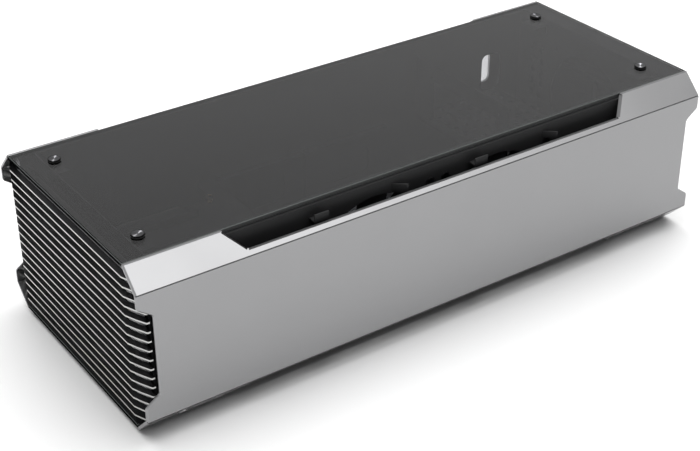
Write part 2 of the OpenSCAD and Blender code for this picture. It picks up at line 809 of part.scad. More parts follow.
module riser_socket() color("black") at_middle() difference() {
    z = tray_level - riser_drop;
    block([riser_x - riser_len / 2, riser_y - riser_h, z - riser_w / 2],
        [riser_x + riser_len / 2, riser_y, z + riser_w / 2]);
    block([riser_x - riser_len / 2 + riser_w / 2, riser_y - riser_h - over,
        z - ribbon_t], [riser_x + riser_len / 2 - riser_w / 2,
        riser_y - riser_h / 3, z + ribbon_t]);
}

module riser_ribbon() color("#181818") at_middle() {
    low = tray_level - riser_drop;
    high = tray_level + plug_h / 2;
    t = ribbon_t / 2;
    start = riser_y + sheet_t;
    end = plug_y + plug_w;
    along_x(riser_x - ribbon_w / 2, riser_x + ribbon_w / 2) polygon(rounded([
        [start, low - t, 0], [ribbon_out + t, low - t, ribbon_r + t],
        [ribbon_out + t, high + t, ribbon_r + t], [end, high + t, 0],
        [end, high - t, 0], [ribbon_out - t, high - t, ribbon_r - t],
        [ribbon_out - t, low + t, ribbon_r - t], [start, low + t, 0]]));
}

module riser_plug() color("black") at_middle()
    block([riser_x - riser_len / 2, plug_y, tray_level],
        [riser_x + riser_len / 2, plug_y + plug_w, tray_level + plug_h]);

// Drive trays on the inside of the rear wall
module ssd_tray(x) at_middle() {
    low = ssd_mid_level - ssd_w / 2;
    high = ssd_mid_level + ssd_w / 2;
    difference() {
        block([x - ssd_len / 2, wall_in - ssd_t, low], [x + ssd_len / 2, wall_in, high]);
        along_y(wall_in - ssd_t - over, wall_in + over) translate([x, ssd_mid_level])
            polygon(rounded(box_corners(ssd_window_len, ssd_window_w, ssd_lip)));
    }
    for (z = [low, high - ssd_t])
        block([x - ssd_len / 2, wall_in - ssd_lip, z], [x + ssd_len / 2, wall_in, z + ssd_t]);
}

module ssd_tray_a() color("#282828") ssd_tray(-(ssd_len + ssd_gap) / 2);

module ssd_tray_b() color("#282828") ssd_tray((ssd_len + ssd_gap) / 2);

// Fans: the frame is drawn with its front at zero and the air going up along Z
module fan_frame() {
    difference() {
        for (z = [0, fan_depth - fan_flange]) translate([0, 0, z]) linear_extrude(fan_flange)
            polygon(rounded(box_corners(fan_w, fan_w, fan_corner_r)));
        for (hx = [-1, 1], hy = [-1, 1])
            translate([hx * fan_pitch / 2, hy * fan_pitch / 2, -over])
            cylinder(d = fan_hole_d, h = fan_depth + 2 * over);
        translate([0, 0, -over]) cylinder(d = fan_bore, h = fan_depth + 2 * over, $fn = 96);
    }
    difference() {
        intersection() {
            cylinder(d = fan_bore + 2 * fan_wall_d, h = fan_depth, $fn = 96);
            translate([-fan_w / 2, -fan_w / 2, 0]) cube([fan_w, fan_w, fan_depth]);
        }
        translate([0, 0, -over]) cylinder(d = fan_bore, h = fan_depth + 2 * over, $fn = 96);
    }
    for (k = [0 : strut_count - 1]) rotate([0, 0, 45 + k * 360 / strut_count])
        translate([motor_d / 2 - over, -strut_w / 2, fan_depth - motor_t])
        cube([(fan_bore - motor_d) / 2 + 2 * over, strut_w, motor_t]);
    difference() {
        union() {
            translate([0, 0, fan_depth - motor_t]) cylinder(d = motor_d, h = motor_t);
            translate([0, 0, rotor_inset + 2 * hub_wall])
                cylinder(d = motor_neck_d, h = fan_depth - rotor_inset - 2 * hub_wall);
        }
        translate([0, 0, rotor_inset]) cylinder(d = shaft_d + 2 * shaft_gap,
            h = fan_depth - rotor_inset - motor_t / 2);
    }
}

module fan_blade() {
    tip = fan_bore / 2 - blade_gap;
    root = (hub_d - hub_wall) / 2;
    rise = blade_curve_r * cos(blade_pitch_ang);
    intersection() {
        difference() {
            cylinder(r = tip, h = blade_len, $fn = 96);
            translate([0, 0, -over]) cylinder(r = root, h = blade_len + 2 * over);
        }
        translate([0, -rise, blade_len / 2 - blade_curve_r * sin(blade_pitch_ang)])
            rotate([0, 90, 0]) difference() {
                cylinder(r = blade_curve_r + blade_t / 2, h = tip + over);
                translate([0, 0, -over])
                    cylinder(r = blade_curve_r - blade_t / 2, h = tip + 3 * over);
            }
        translate([0, -rise, 0]) cube([tip + over, tip, blade_len]);
    }
}

module fan_rotor() translate([0, 0, rotor_inset]) {
    difference() {
        cylinder(d = hub_d, h = hub_len);
        translate([0, 0, hub_wall]) cylinder(d = hub_d - 2 * hub_wall, h = hub_len);
    }
    cylinder(d = shaft_d, h = fan_depth - rotor_inset - motor_t);
    for (k = [0 : blade_count - 1]) rotate([0, 0, k * 360 / blade_count]) fan_blade();
}

module at_fan(x) at_middle() translate([x, -wall_in, 0]) rotate([-90, 0, 0]) children();

module fan_frame_a() color("#181818") at_fan(-fan_x) fan_frame();

module fan_frame_b() color("#181818") at_fan(fan_x) fan_frame();

module fan_rotor_a() color("#282828") at_fan(-fan_x) fan_rotor();

module fan_rotor_b() color("#282828") at_fan(fan_x) fan_rotor();

module fan_screws() color("#404040") for (x = [-fan_x, fan_x], hx = [-1, 1], hy = [-1, 1])
    at_fan(x) translate([hx * fan_pitch / 2, hy * fan_pitch / 2, 0]) {
        translate([0, 0, -sheet_t - fan_screw_head_h])
            cylinder(d = fan_screw_head_d, h = fan_screw_head_h);
        translate([0, 0, -sheet_t - fan_screw_head_h / 2])
            cylinder(d = fan_screw_d, h = fan_screw_len);
    }

// Ports behind the lower slope of the front panel
module io_housing() color("#181818") at_middle() lower_front_slope() difference() {
    translate([-port_x - port_len / 2, port_mid - port_w / 2, -panel_t - port_depth])
        cube([port_len, port_w, port_depth]);
    translate([-button_x, port_mid, 0]) {
        pocket = 3 * button_travel + button_flange_t;
        translate([0, 0, -panel_t - pocket])
            cylinder(d = button_flange_d + 2 * run_gap, h = pocket + over);
        translate([0, 0, -panel_t - pocket - button_pin_len])
            cylinder(d = button_pin_d + 2 * run_gap, h = button_pin_len + over);
    }
    for (k = [0, 1]) translate([-usb_x + k * usb_pitch, port_mid, -usb_recess - usb_len])
        translate([-usb_w / 2 - thread_gap, -usb_h / 2 - thread_gap, 0])
        cube([usb_w + 2 * thread_gap, usb_h + 2 * thread_gap, usb_len + over]);
}

module usb_ports() color("silver") at_middle() lower_front_slope() for (k = [0, 1])
    translate([-usb_x + k * usb_pitch, port_mid, -usb_recess - usb_len]) {
        difference() {
            translate([-usb_w / 2, -usb_h / 2, 0]) cube([usb_w, usb_h, usb_len]);
            translate([-usb_w / 2 + usb_wall, -usb_h / 2 + usb_wall, usb_wall])
                cube([usb_w - 2 * usb_wall, usb_h - 2 * usb_wall, usb_len]);
        }
        translate([-usb_w / 2 + 2 * usb_wall, -usb_h / 2 + 2 * usb_wall, usb_wall / 2])
            cube([usb_w - 4 * usb_wall, usb_tongue, usb_len - 2 * usb_wall]);
    }

module power_button() color("#c0c0c0") at_middle() lower_front_slope()
    translate([-button_x, port_mid, 0]) {
        seat = panel_t + run_gap;
        translate([0, 0, -seat]) cylinder(d = button_d, h = seat + button_proud);
        translate([0, 0, -seat - button_flange_t])
            cylinder(d = button_flange_d, h = button_flange_t);
        translate([0, 0, -seat - button_flange_t - button_pin_len])
            cylinder(d = button_pin_d, h = button_pin_len);
    }

// Finned cover of the -X end. Its outline is a polygon in the XY plane
function cover_outline(front, half, back) = both_y([[back, half],
    [front + fin_turn_x, half], [front + fin_slant_x, half - fin_turn_y + fin_slant_y],
    [front, half - fin_turn_y]]);

function rounded_cover(front, half) =
    let (p = cover_outline(front, half, cover_back + over), n = len(p))
    rounded([for (i = [0 : n - 1]) [p[i].x, p[i].y, i == 1 || i == n - 2 ? fin_turn_r : 0]]);

module cover_ribbon(outer_in, outer_cheek, inner_in, inner_cheek) intersection() {
    difference() {
        polygon(rounded_cover(cover_front + outer_in, cover_half - outer_cheek));
        polygon(rounded_cover(cover_front + inner_in, cover_half - inner_cheek));
    }
    translate([cover_front - over, -half_d]) square([cover_back - cover_front + over,
        case_depth]);
}

module end_cover_fins() color("#484848") at_middle() intersection() {
    for (k = [0 : fin_count - 1])
        translate([0, 0, (k - (fin_count - 1) / 2) * fin_pitch - fin_t / 2])
        linear_extrude(fin_t) cover_ribbon(0, 0, fin_depth, fin_cheek);
    along_x(cover_front - over, cover_back + over) polygon(inside_profile(run_gap));
}

module end_cover_mesh() color("#383838") at_middle() intersection() {
    translate([0, 0, mesh_low]) linear_extrude(glass_in - run_gap - mesh_low)
        cover_ribbon(fin_depth, fin_cheek, fin_depth + mesh_t, fin_cheek + mesh_t);
    along_x(cover_front - over, cover_back + over) polygon(inside_profile(run_gap));
}

module end_cover_frame() color("#101010") at_middle() {
    cheek_out = cover_half - frame_recess;
    difference() {
        along_x(frame_ring_x - frame_ring, frame_ring_x) polygon(inside_profile(2 * run_gap));
        block([frame_ring_x - frame_ring - over, -frame_open_y, -frame_open_z],
            [frame_ring_x + over, frame_open_y, frame_open_z]);
    }
    for (sy = [-1, 1]) mirror([0, sy < 0 ? 1 : 0, 0])
        block([cover_back, cheek_out - frame_cheek, -fold_in_z + 2 * run_gap],
            [frame_ring_x, cheek_out, fold_in_z - 2 * run_gap]);
    intersection() {
        translate([0, 0, -glass_in]) linear_extrude(mesh_low - run_gap + glass_in)
            polygon(cover_outline(cover_front + cover_lip_in, cheek_out, frame_ring_x));
        along_x(cover_front, frame_ring_x) polygon(inside_profile(2 * run_gap));
    }
    for (sy = [-1, 1], sz = [-1, 1])
        translate([frame_ring_x - over, sy * peg_y, sz * peg_z]) rotate([0, 90, 0])
        cylinder(d = peg_d, h = peg_len + over);
}

// Base end: a frame whose channel holds the filter, which slides out towards the rear
module base_cover_frame() color("#101010") at_middle() {
    gap = run_gap;
    back = filter_x - gap;
    lip_from = filter_x + filter_t + gap;
    front = lip_from + base_lip;
    difference() {
        intersection() {
            along_x(bulk_x, front) polygon(inside_profile(gap));
            block([bulk_x, -base_half_y, -half_h], [front, base_half_y, half_h]);
        }
        block([bulk_x - over, -base_open_half_y, -filter_half_z + base_lip_over],
            [front + over, base_open_half_y, filter_half_z - base_lip_over]);
        block([back, filter_front - gap, -filter_half_z - gap],
            [lip_from, half_d, filter_half_z + gap]);
        both_faces() block([bulk_x - over, -edge_y + base_shell,
            filter_half_z + gap + base_shell], [front - base_shell,
            edge_y - base_shell, glass_in - gap - base_shell]);
    }
}

module base_pads() color("black") at_middle()
    for (sy = [-1, 1], sz = [-1, 1]) {
        from = filter_x + filter_t + run_gap + base_lip;
        z = sz * (filter_half_z + wall_top) / 2;
        along_x(from, half_l) translate([sy * pad_y, z])
            polygon(rounded(box_corners(pad_len, pad_w, pad_w / 4)));
    }

module base_filter() color("#202020") at_middle() {
    difference() {
        block([filter_x, filter_front, -filter_half_z],
            [filter_x + filter_t, base_half_y, filter_half_z]);
        for (sy = [-1, 1]) mirror([0, sy < 0 ? 1 : 0, 0])
            block([filter_x - over, filter_bar / 2, -filter_half_z + filter_rim],
                [filter_x + filter_t + over, base_open_half_y, filter_half_z - filter_rim]);
    }
    block([filter_x, base_half_y - over, -filter_tab_w / 2],
        [filter_x + filter_t, half_d - filter_tab_gap, filter_tab_w / 2]);
}

module base_filter_mesh() color("#383838") at_middle() for (sy = [-1, 1])
    mirror([0, sy < 0 ? 1 : 0, 0])
    block([filter_x + filter_t / 2, filter_bar / 2, -filter_half_z + filter_rim],
        [filter_x + filter_t / 2 + filter_mesh_t, base_open_half_y,
        filter_half_z - filter_rim]);

front_panel();
rear_panel();
upper_glass();
lower_glass();
upper_grommets();
lower_grommets();
upper_thumbscrews();
lower_thumbscrews();
rubber_feet();
base_pads();
front_wall();
rear_wall();
io_bulkhead();
base_bulkhead();
glass_brackets();
glass_posts();
front_panel_studs();
rear_panel_studs();
board_tray();
board_standoffs();
slot_covers();
slot_cover_screws();
psu_bracket();
riser_bracket();
riser_socket();
riser_ribbon();
riser_plug();
ssd_tray_a();
ssd_tray_b();
fan_frame_a();
fan_frame_b();
fan_rotor_a();
fan_rotor_b();
fan_screws();
io_housing();
usb_ports();
power_button();
end_cover_frame();
end_cover_fins();
end_cover_mesh();
base_cover_frame();
base_filter();
base_filter_mesh();
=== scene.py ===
"""Dresses the slim mini-ITX computer case and sets its stage."""

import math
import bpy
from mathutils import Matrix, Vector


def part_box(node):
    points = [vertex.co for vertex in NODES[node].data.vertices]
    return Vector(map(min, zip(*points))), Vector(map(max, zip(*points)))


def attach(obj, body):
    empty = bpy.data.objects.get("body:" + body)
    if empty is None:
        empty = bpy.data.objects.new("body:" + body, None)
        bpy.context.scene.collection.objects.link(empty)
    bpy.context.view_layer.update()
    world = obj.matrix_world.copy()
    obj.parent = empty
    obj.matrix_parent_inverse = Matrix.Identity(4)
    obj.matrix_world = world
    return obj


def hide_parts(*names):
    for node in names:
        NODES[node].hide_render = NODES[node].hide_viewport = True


bl_info = {
    "name": "Slim Mini-ITX Case",
    "version": (1, 0, 0),
    "blender": (4, 5, 0),
    "location": "View3D > Sidebar > Case",
    "description": "Finishes, fine parts and studio for a slim computer case lying on its side",
    "category": "Object",
}

import bmesh
import bpy
from mathutils import Matrix, Vector

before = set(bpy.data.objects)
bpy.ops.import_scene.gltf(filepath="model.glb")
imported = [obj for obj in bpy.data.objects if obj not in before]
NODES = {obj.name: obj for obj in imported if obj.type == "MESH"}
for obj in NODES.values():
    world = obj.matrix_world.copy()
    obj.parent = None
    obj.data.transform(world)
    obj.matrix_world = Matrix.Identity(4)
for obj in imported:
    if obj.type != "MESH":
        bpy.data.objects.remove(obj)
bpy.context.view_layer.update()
MM = 0.001
WIRE_INSET = 0.4 * MM       # from a mesh node's box to the middle of the wires in it

# Round patches of the sky, by their direction and the cosines of their outer edge and full
# part. X runs to the right end, -Y to the front, Z up. The first lights everything, and
# metal and glass mirror the others, each with its change of strength.
OVERHEAD_LIGHT = ((0.16, 0.15, 0.975), 0.55, 0.95)
MIRRORED_SKY = (
    ((0.25, -0.58, 0.775), 0.895, 0.95, 2.0),       # soft box high in front
    ((0.15, 0.75, 0.65), 0.55, 0.80, -0.35),        # grey ceiling behind
    ((0.95, -0.25, 0.20), 0.60, 0.95, -0.30),       # grey wall at the right end
    ((-0.30, 0.48, 0.83), 0.93, 0.98, -0.45))       # dark card high on the left

# The place along X that each lamp at the thumbscrews aims at, and the direction to the lamp
SCREW_LAMPS = ((0.30, (0.489, 0.353, 0.798)), (-0.30, (0.069, 0.572, 0.816)))


# Sizes and colours that a user would change

class CaseSizes(bpy.types.PropertyGroup):
    """Sizes of the fine parts."""

    edge_round: bpy.props.FloatProperty(
        name="Edge Rounding", description="Width of the broken edges of the panels",
        default=0.3 * MM, unit="LENGTH")
    rim_chamfer: bpy.props.FloatProperty(
        name="Rim Chamfer", description="Width of the chamfer round the cut ends of the panels",
        default=1.1 * MM, unit="LENGTH")
    wire_pitch: bpy.props.FloatProperty(
        name="Wire Pitch", description="Distance between the wires of the fine mesh",
        default=1.5 * MM, unit="LENGTH")
    wire_radius: bpy.props.FloatProperty(
        name="Wire Radius", description="Radius of the wires of the fine mesh",
        default=0.33 * MM, unit="LENGTH")
    filter_pitch: bpy.props.FloatProperty(
        name="Filter Pitch",
        description="Distance between the threads of the dust filter, drawn coarser than real",
        default=0.8 * MM, unit="LENGTH")
    filter_radius: bpy.props.FloatProperty(
        name="Filter Thread", description="Radius of the threads of the dust filter",
        default=0.4 * MM, unit="LENGTH")
    knurl_count: bpy.props.IntProperty(
        name="Knurl Ridges", description="Number of ridges round a thumbscrew head",
        default=48, min=12, max=96)
    knurl_size: bpy.props.FloatProperty(
        name="Knurl Size", description="Radius of a ridge on a thumbscrew head",
        default=0.22 * MM, unit="LENGTH")
    knurl_height: bpy.props.FloatProperty(
        name="Knurl Height", description="Height of the knurled band of a thumbscrew head",
        default=0.7 * MM, unit="LENGTH")
    glass_border: bpy.props.FloatProperty(
        name="Glass Border", description="Width of the dark printed border at the ends of the glass",
        default=1.2 * MM, unit="LENGTH")


class CaseColours(bpy.types.PropertyGroup):
    """Colours of the finishes, as sRGB hex values."""

    panel: bpy.props.StringProperty(
        name="Anodised Panels", description="Silver-grey anodised aluminium", default="#949495")
    # Painted shade: this darker tone stands for the shade in the fold grooves and along the fold
    # between slope and lip.
    groove: bpy.props.StringProperty(
        name="Pressed Groove", description="Shaded groove along the folds", default="#7C7C7E")
    glass: bpy.props.StringProperty(
        name="Tinted Glass", description="Grey tint of the toughened glass", default="#BFBFC1")
    glass_side: bpy.props.StringProperty(
        name="Glass Sides", description="Dark long sides of the tinted glass", default="#3B3C3C")
    # Painted shade on the short ends of the glass, darker than the long sides; the same tone is the
    # printed border.
    glass_end_shade_and_print: bpy.props.StringProperty(
        name="Glass Ends", description="Short sides and printed border of the glass",
        default="#0B0B0C")
    glass_chamfer: bpy.props.StringProperty(
        name="Glass Chamfer", description="Ground chamfer of the glass", default="#5A5D5C")
    steel: bpy.props.StringProperty(
        name="Powder Coat", description="Black powder coat on steel", default="#262627")
    plastic: bpy.props.StringProperty(
        name="Moulded Plastic", description="Black moulded ABS", default="#1A1A1B")
    paint: bpy.props.StringProperty(
        name="Matte Paint", description="Black paint on the frame of the end cover",
        default="#0A0A0B")
    rotor: bpy.props.StringProperty(
        name="Fan Rotors", description="Dark grey plastic of the fan rotors", default="#333335")
    rubber: bpy.props.StringProperty(
        name="Rubber", description="Black silicone rubber", default="#191919")
    screw: bpy.props.StringProperty(
        name="Thumbscrews", description="Blackened steel of the turned faces",
        default="#5A5A5C")
    screw_rim: bpy.props.StringProperty(
        name="Thumbscrew Rims", description="Darker knurled rim of the thumbscrews",
        default="#141415")
    small_screw: bpy.props.StringProperty(
        name="Small Screws", description="Blackened steel of the machine screws",
        default="#4A4A4B")
    blade: bpy.props.StringProperty(
        name="Fin Faces", description="Black anodised faces of the fins", default="#161617")
    ground: bpy.props.StringProperty(
        name="Fin Edges", description="Bright ground edges of the fins", default="#BDBDBB")
    # Painted light: the pale grey lifts the mesh in the shade behind the fins.
    wire: bpy.props.StringProperty(
        name="Mesh Wire", description="Light grey coated wire of the fine mesh",
        default="#D6D6D8")
    thread: bpy.props.StringProperty(
        name="Filter Thread", description="Black nylon of the dust filter", default="#0E0E0F")
    brass: bpy.props.StringProperty(
        name="Brass", description="Plain turned brass", default="#D2AC67")
    plated: bpy.props.StringProperty(
        name="Plated Steel", description="Nickel-plated steel", default="#C4C4C2")
    floor: bpy.props.StringProperty(
        name="Studio Floor", description="White paper of the floor", default="#F7F7F7")


class StageSettings(bpy.types.PropertyGroup):
    """The photograph's camera and the lamps at the thumbscrews."""

    azimuth: bpy.props.FloatProperty(
        name="Camera Azimuth", description="Turn of the camera round the case",
        default=math.radians(-34.583), unit="ROTATION")
    elevation: bpy.props.FloatProperty(
        name="Camera Elevation", description="Height angle of the camera",
        default=math.radians(30.731), unit="ROTATION")
    roll: bpy.props.FloatProperty(
        name="Camera Roll", description="Tilt of the camera about its view",
        default=math.radians(-0.390), unit="ROTATION")
    distance: bpy.props.FloatProperty(
        name="Camera Distance", description="Distance from the aim point",
        default=1.40245, unit="LENGTH")
    aim: bpy.props.FloatVectorProperty(
        name="Aim", description="Point that the camera looks at",
        default=(-0.05562, -0.05420, 0.090), unit="LENGTH")
    lens: bpy.props.FloatProperty(
        name="Lens", description="Focal length on a 36 mm wide sensor, in millimetres",
        default=74.945)
    lamp_power: bpy.props.FloatProperty(
        name="Screw Lamp Power", description="Power of each lamp at the thumbscrews",
        default=16.0, unit="POWER")
    lamp_distance: bpy.props.FloatProperty(
        name="Screw Lamp Distance", description="Distance of each lamp from the thumbscrews",
        default=0.8, unit="LENGTH")


# Helpers

def linear(hex_colour):
    """An sRGB hex value as linear red, green, blue and alpha."""
    digits = hex_colour.lstrip("#")
    out = []
    for start in (0, 2, 4):
        part = int(digits[start:start + 2], 16) / 255
        out.append(part / 12.92 if part <= 0.04045 else ((part + 0.055) / 1.055) ** 2.4)
    return (*out, 1.0)


def colour(name):
    """One of the finishes' colours, as linear red, green, blue and alpha."""
    return linear(getattr(bpy.context.scene.case_colours, name))


def sizes():
    """The sizes of the fine parts."""
    return bpy.context.scene.case_sizes


def add_node(tree, kind, settings=None, inputs=None):
    """Adds one node with its settings; an input is a value or another node's output."""
    node = tree.nodes.new(kind)
    for name, value in (settings or {}).items():
        setattr(node, name, value)
    for key, value in (inputs or {}).items():
        if isinstance(value, bpy.types.NodeSocket):
            tree.links.new(value, node.inputs[key])
        else:
            node.inputs[key].default_value = value
    return node


def new_material(name, **surface):
    """A material with one Principled shader, whose sockets are given by name."""
    material = bpy.data.materials.new(name)
    material.use_nodes = True
    tree = material.node_tree
    tree.nodes.clear()
    shader = add_node(tree, "ShaderNodeBsdfPrincipled")
    for socket, value in surface.items():
        shader.inputs[socket.replace("_", " ")].default_value = value
    out = add_node(tree, "ShaderNodeOutputMaterial")
    tree.links.new(shader.outputs["BSDF"], out.inputs["Surface"])
    return material, tree, shader


def grain(tree, shader, size, height):
    """Bump from a noise whose grains measure size, in metres."""
    place = add_node(tree, "ShaderNodeTexCoord")
    noise = add_node(tree, "ShaderNodeTexNoise", inputs={
        "Vector": place.outputs["Object"], "Scale": 1 / size, "Detail": 2.0})
    bump = add_node(tree, "ShaderNodeBump", inputs={
        "Height": noise.outputs["Fac"], "Distance": height, "Strength": 1.0})
    tree.links.new(bump.outputs["Normal"], shader.inputs["Normal"])


def vary_roughness(tree, shader, size, low, high):
    """Lets the roughness drift between two values over patches of the given size."""
    place = add_node(tree, "ShaderNodeTexCoord")
    noise = add_node(tree, "ShaderNodeTexNoise", inputs={
        "Vector": place.outputs["Object"], "Scale": 1 / size, "Detail": 3.0})
    drift = add_node(tree, "ShaderNodeMapRange", inputs={
        "Value": noise.outputs["Fac"], "From Min": 0.3, "From Max": 0.7,
        "To Min": low, "To Max": high})
    tree.links.new(drift.outputs["Result"], shader.inputs["Roughness"])


def finish_node(name, material):
    """Gives a CAD node its finish."""
    mesh = NODES[name].data
    mesh.materials.clear()
    mesh.materials.append(material)


def link_piece(name, data):
    """A new object in the scene, with its mesh or lamp."""
    piece = bpy.data.objects.new(name, data)
    bpy.context.scene.collection.objects.link(piece)
    return piece


def baked(piece):
    """Turns a piece with modifiers into a plain mesh and removes the modifiers."""
    bpy.context.view_layer.update()
    evaluated = piece.evaluated_get(bpy.context.evaluated_depsgraph_get())
    mesh = bpy.data.meshes.new_from_object(evaluated)
    piece.modifiers.clear()
    old = piece.data
    piece.data = mesh
    bpy.data.meshes.remove(old)
    return piece


def finished_panel(node, materials, body):
    """A copy of a panel with chamfered ends and broken edges, which then stands for it."""
    merge, flat = 0.002 * MM, math.radians(0.5)
    shortest, sharp = 12 * MM, math.radians(35.0)
    touch = 0.01 * MM
    mesh = NODES[node].data.copy()
    shape = bmesh.new()
    shape.from_mesh(mesh)
    bmesh.ops.remove_doubles(shape, verts=shape.verts, dist=merge)
    bmesh.ops.dissolve_limit(shape, angle_limit=flat, verts=shape.verts, edges=shape.edges)
    low, high = (Vector(corner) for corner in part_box(node))
    middle = (low.z + high.z) / 2
    outer = max(abs(low.y), abs(high.y))
    fold = max(abs(vert.co.z - middle) for vert in shape.verts
               if abs(vert.co.y) > outer - touch)
    # The groove faces and the faces of the lip fold take the second material, whose darker tone is
    # painted shade.
    for face in shape.faces:
        face.material_index = int(in_groove(face, Vector((outer, fold)), middle)
                                  or in_lip_fold(face))
    rims = [edge for edge in shape.edges if is_rim(edge, middle, high.x)]
    bmesh.ops.bevel(shape, geom=rims, offset=sizes().rim_chamfer, segments=1, profile=0.5,
                    affect="EDGES", clamp_overlap=False)
    long_edges = [edge for edge in shape.edges if edge.is_manifold
                  and edge.calc_length() > shortest
                  and edge.calc_face_angle_signed(0.0) > sharp
                  and not any(face.material_index for face in edge.link_faces)]
    bmesh.ops.bevel(shape, geom=long_edges, offset=sizes().edge_round, segments=1, profile=0.5,
                    affect="EDGES", clamp_overlap=False)
    for face in shape.faces:
        face.smooth = False
    mesh.materials.clear()
    for material in materials:
        mesh.materials.append(material)
    shape.to_mesh(mesh)
    shape.free()
    piece = link_piece(node + "_finished", mesh)
    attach(piece, body)
    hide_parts(node)


def is_rim(edge, middle, reach):
    """Whether an edge lies between a panel's outer face and one of its cut ends."""
    if len(edge.link_faces) != 2:
        return False
    cut, skin = sorted(edge.link_faces, key=lambda face: -abs(face.normal.x))
    least_cut, most_skin = 0.2, 0.05
    if abs(cut.normal.x) < least_cut or abs(skin.normal.x) > most_skin:
        return False
    near_end = 0.9 * reach
    if min(abs(vert.co.x) for vert in edge.verts) < near_end:
        return False
    spot = skin.calc_center_median()
    outward = Vector((0.0, spot.y, spot.z - middle)).normalized()
    faces_out = skin.normal.dot(outward) > 0.3
    groove_wall = 0.8 < abs(skin.normal.y) < 0.98
    return faces_out and not groove_wall


def in_groove(face, fold, middle):
    """Whether a face belongs to the fine groove along one of a panel's folds."""
    furthest = 2.5 * MM
    x, y, z = (abs(part) for part in face.normal)
    upright, level, sloped = y > 0.98, z > 0.98, abs(y - z) < 0.05
    spot = face.calc_center_median()
    away = (Vector((abs(spot.y), abs(spot.z - middle))) - fold).length
    return away < furthest and x < 0.1 and not (upright or level or sloped)


def in_lip_fold(face):
    """Whether a face lies in the middle of the fold between a panel's slope and its lip."""
    runs_along = abs(face.normal.x) < 0.1
    half_folded = 0.78 < abs(face.normal.z) < 0.90
    return runs_along and half_folded


def new_tree(name, inputs):
    """A Geometry Nodes tree with the named inputs, and one mesh in and out."""
    tree = bpy.data.node_groups.new(name, "GeometryNodeTree")
    tree.interface.new_socket("Geometry", in_out="INPUT", socket_type="NodeSocketGeometry")
    for label, kind in inputs:
        tree.interface.new_socket(label, in_out="INPUT", socket_type=kind)
    tree.interface.new_socket("Geometry", in_out="OUTPUT", socket_type="NodeSocketGeometry")
    return tree


def set_inputs(modifier, values):
    """Sets a Geometry Nodes modifier's inputs by the identifiers of their sockets."""
    for item in modifier.node_group.interface.items_tree:
        if item.item_type == "SOCKET" and item.in_out == "INPUT" and item.name in values:
            modifier[item.identifier] = values[item.name]


# Finishes

def satin_anodised():
    # Aluminium, bead-blasted and anodised: an even satin sheen with a very fine grain.
    # The grain is drawn at 0.5 mm, coarser than the real 0.1 mm blast, so that it shows.
    material, tree, shader = new_material(
        "satin_anodised_aluminium", Base_Color=colour("panel"), Metallic=1.0)
    grain(tree, shader, 0.5 * MM, 0.004 * MM)
    vary_roughness(tree, shader, 60 * MM, 0.28, 0.33)
    return material


def groove_painted_shade():
    # The groove of the folding tool, and the fold between slope and lip: rough, with painted shade,
    # a darker tone that stands for the shade in the groove and along that fold.
    material, tree, shader = new_material(
        "painted_shade_in_groove", Base_Color=colour("groove"), Metallic=1.0)
    vary_roughness(tree, shader, 4 * MM, 0.5, 0.6)
    return material


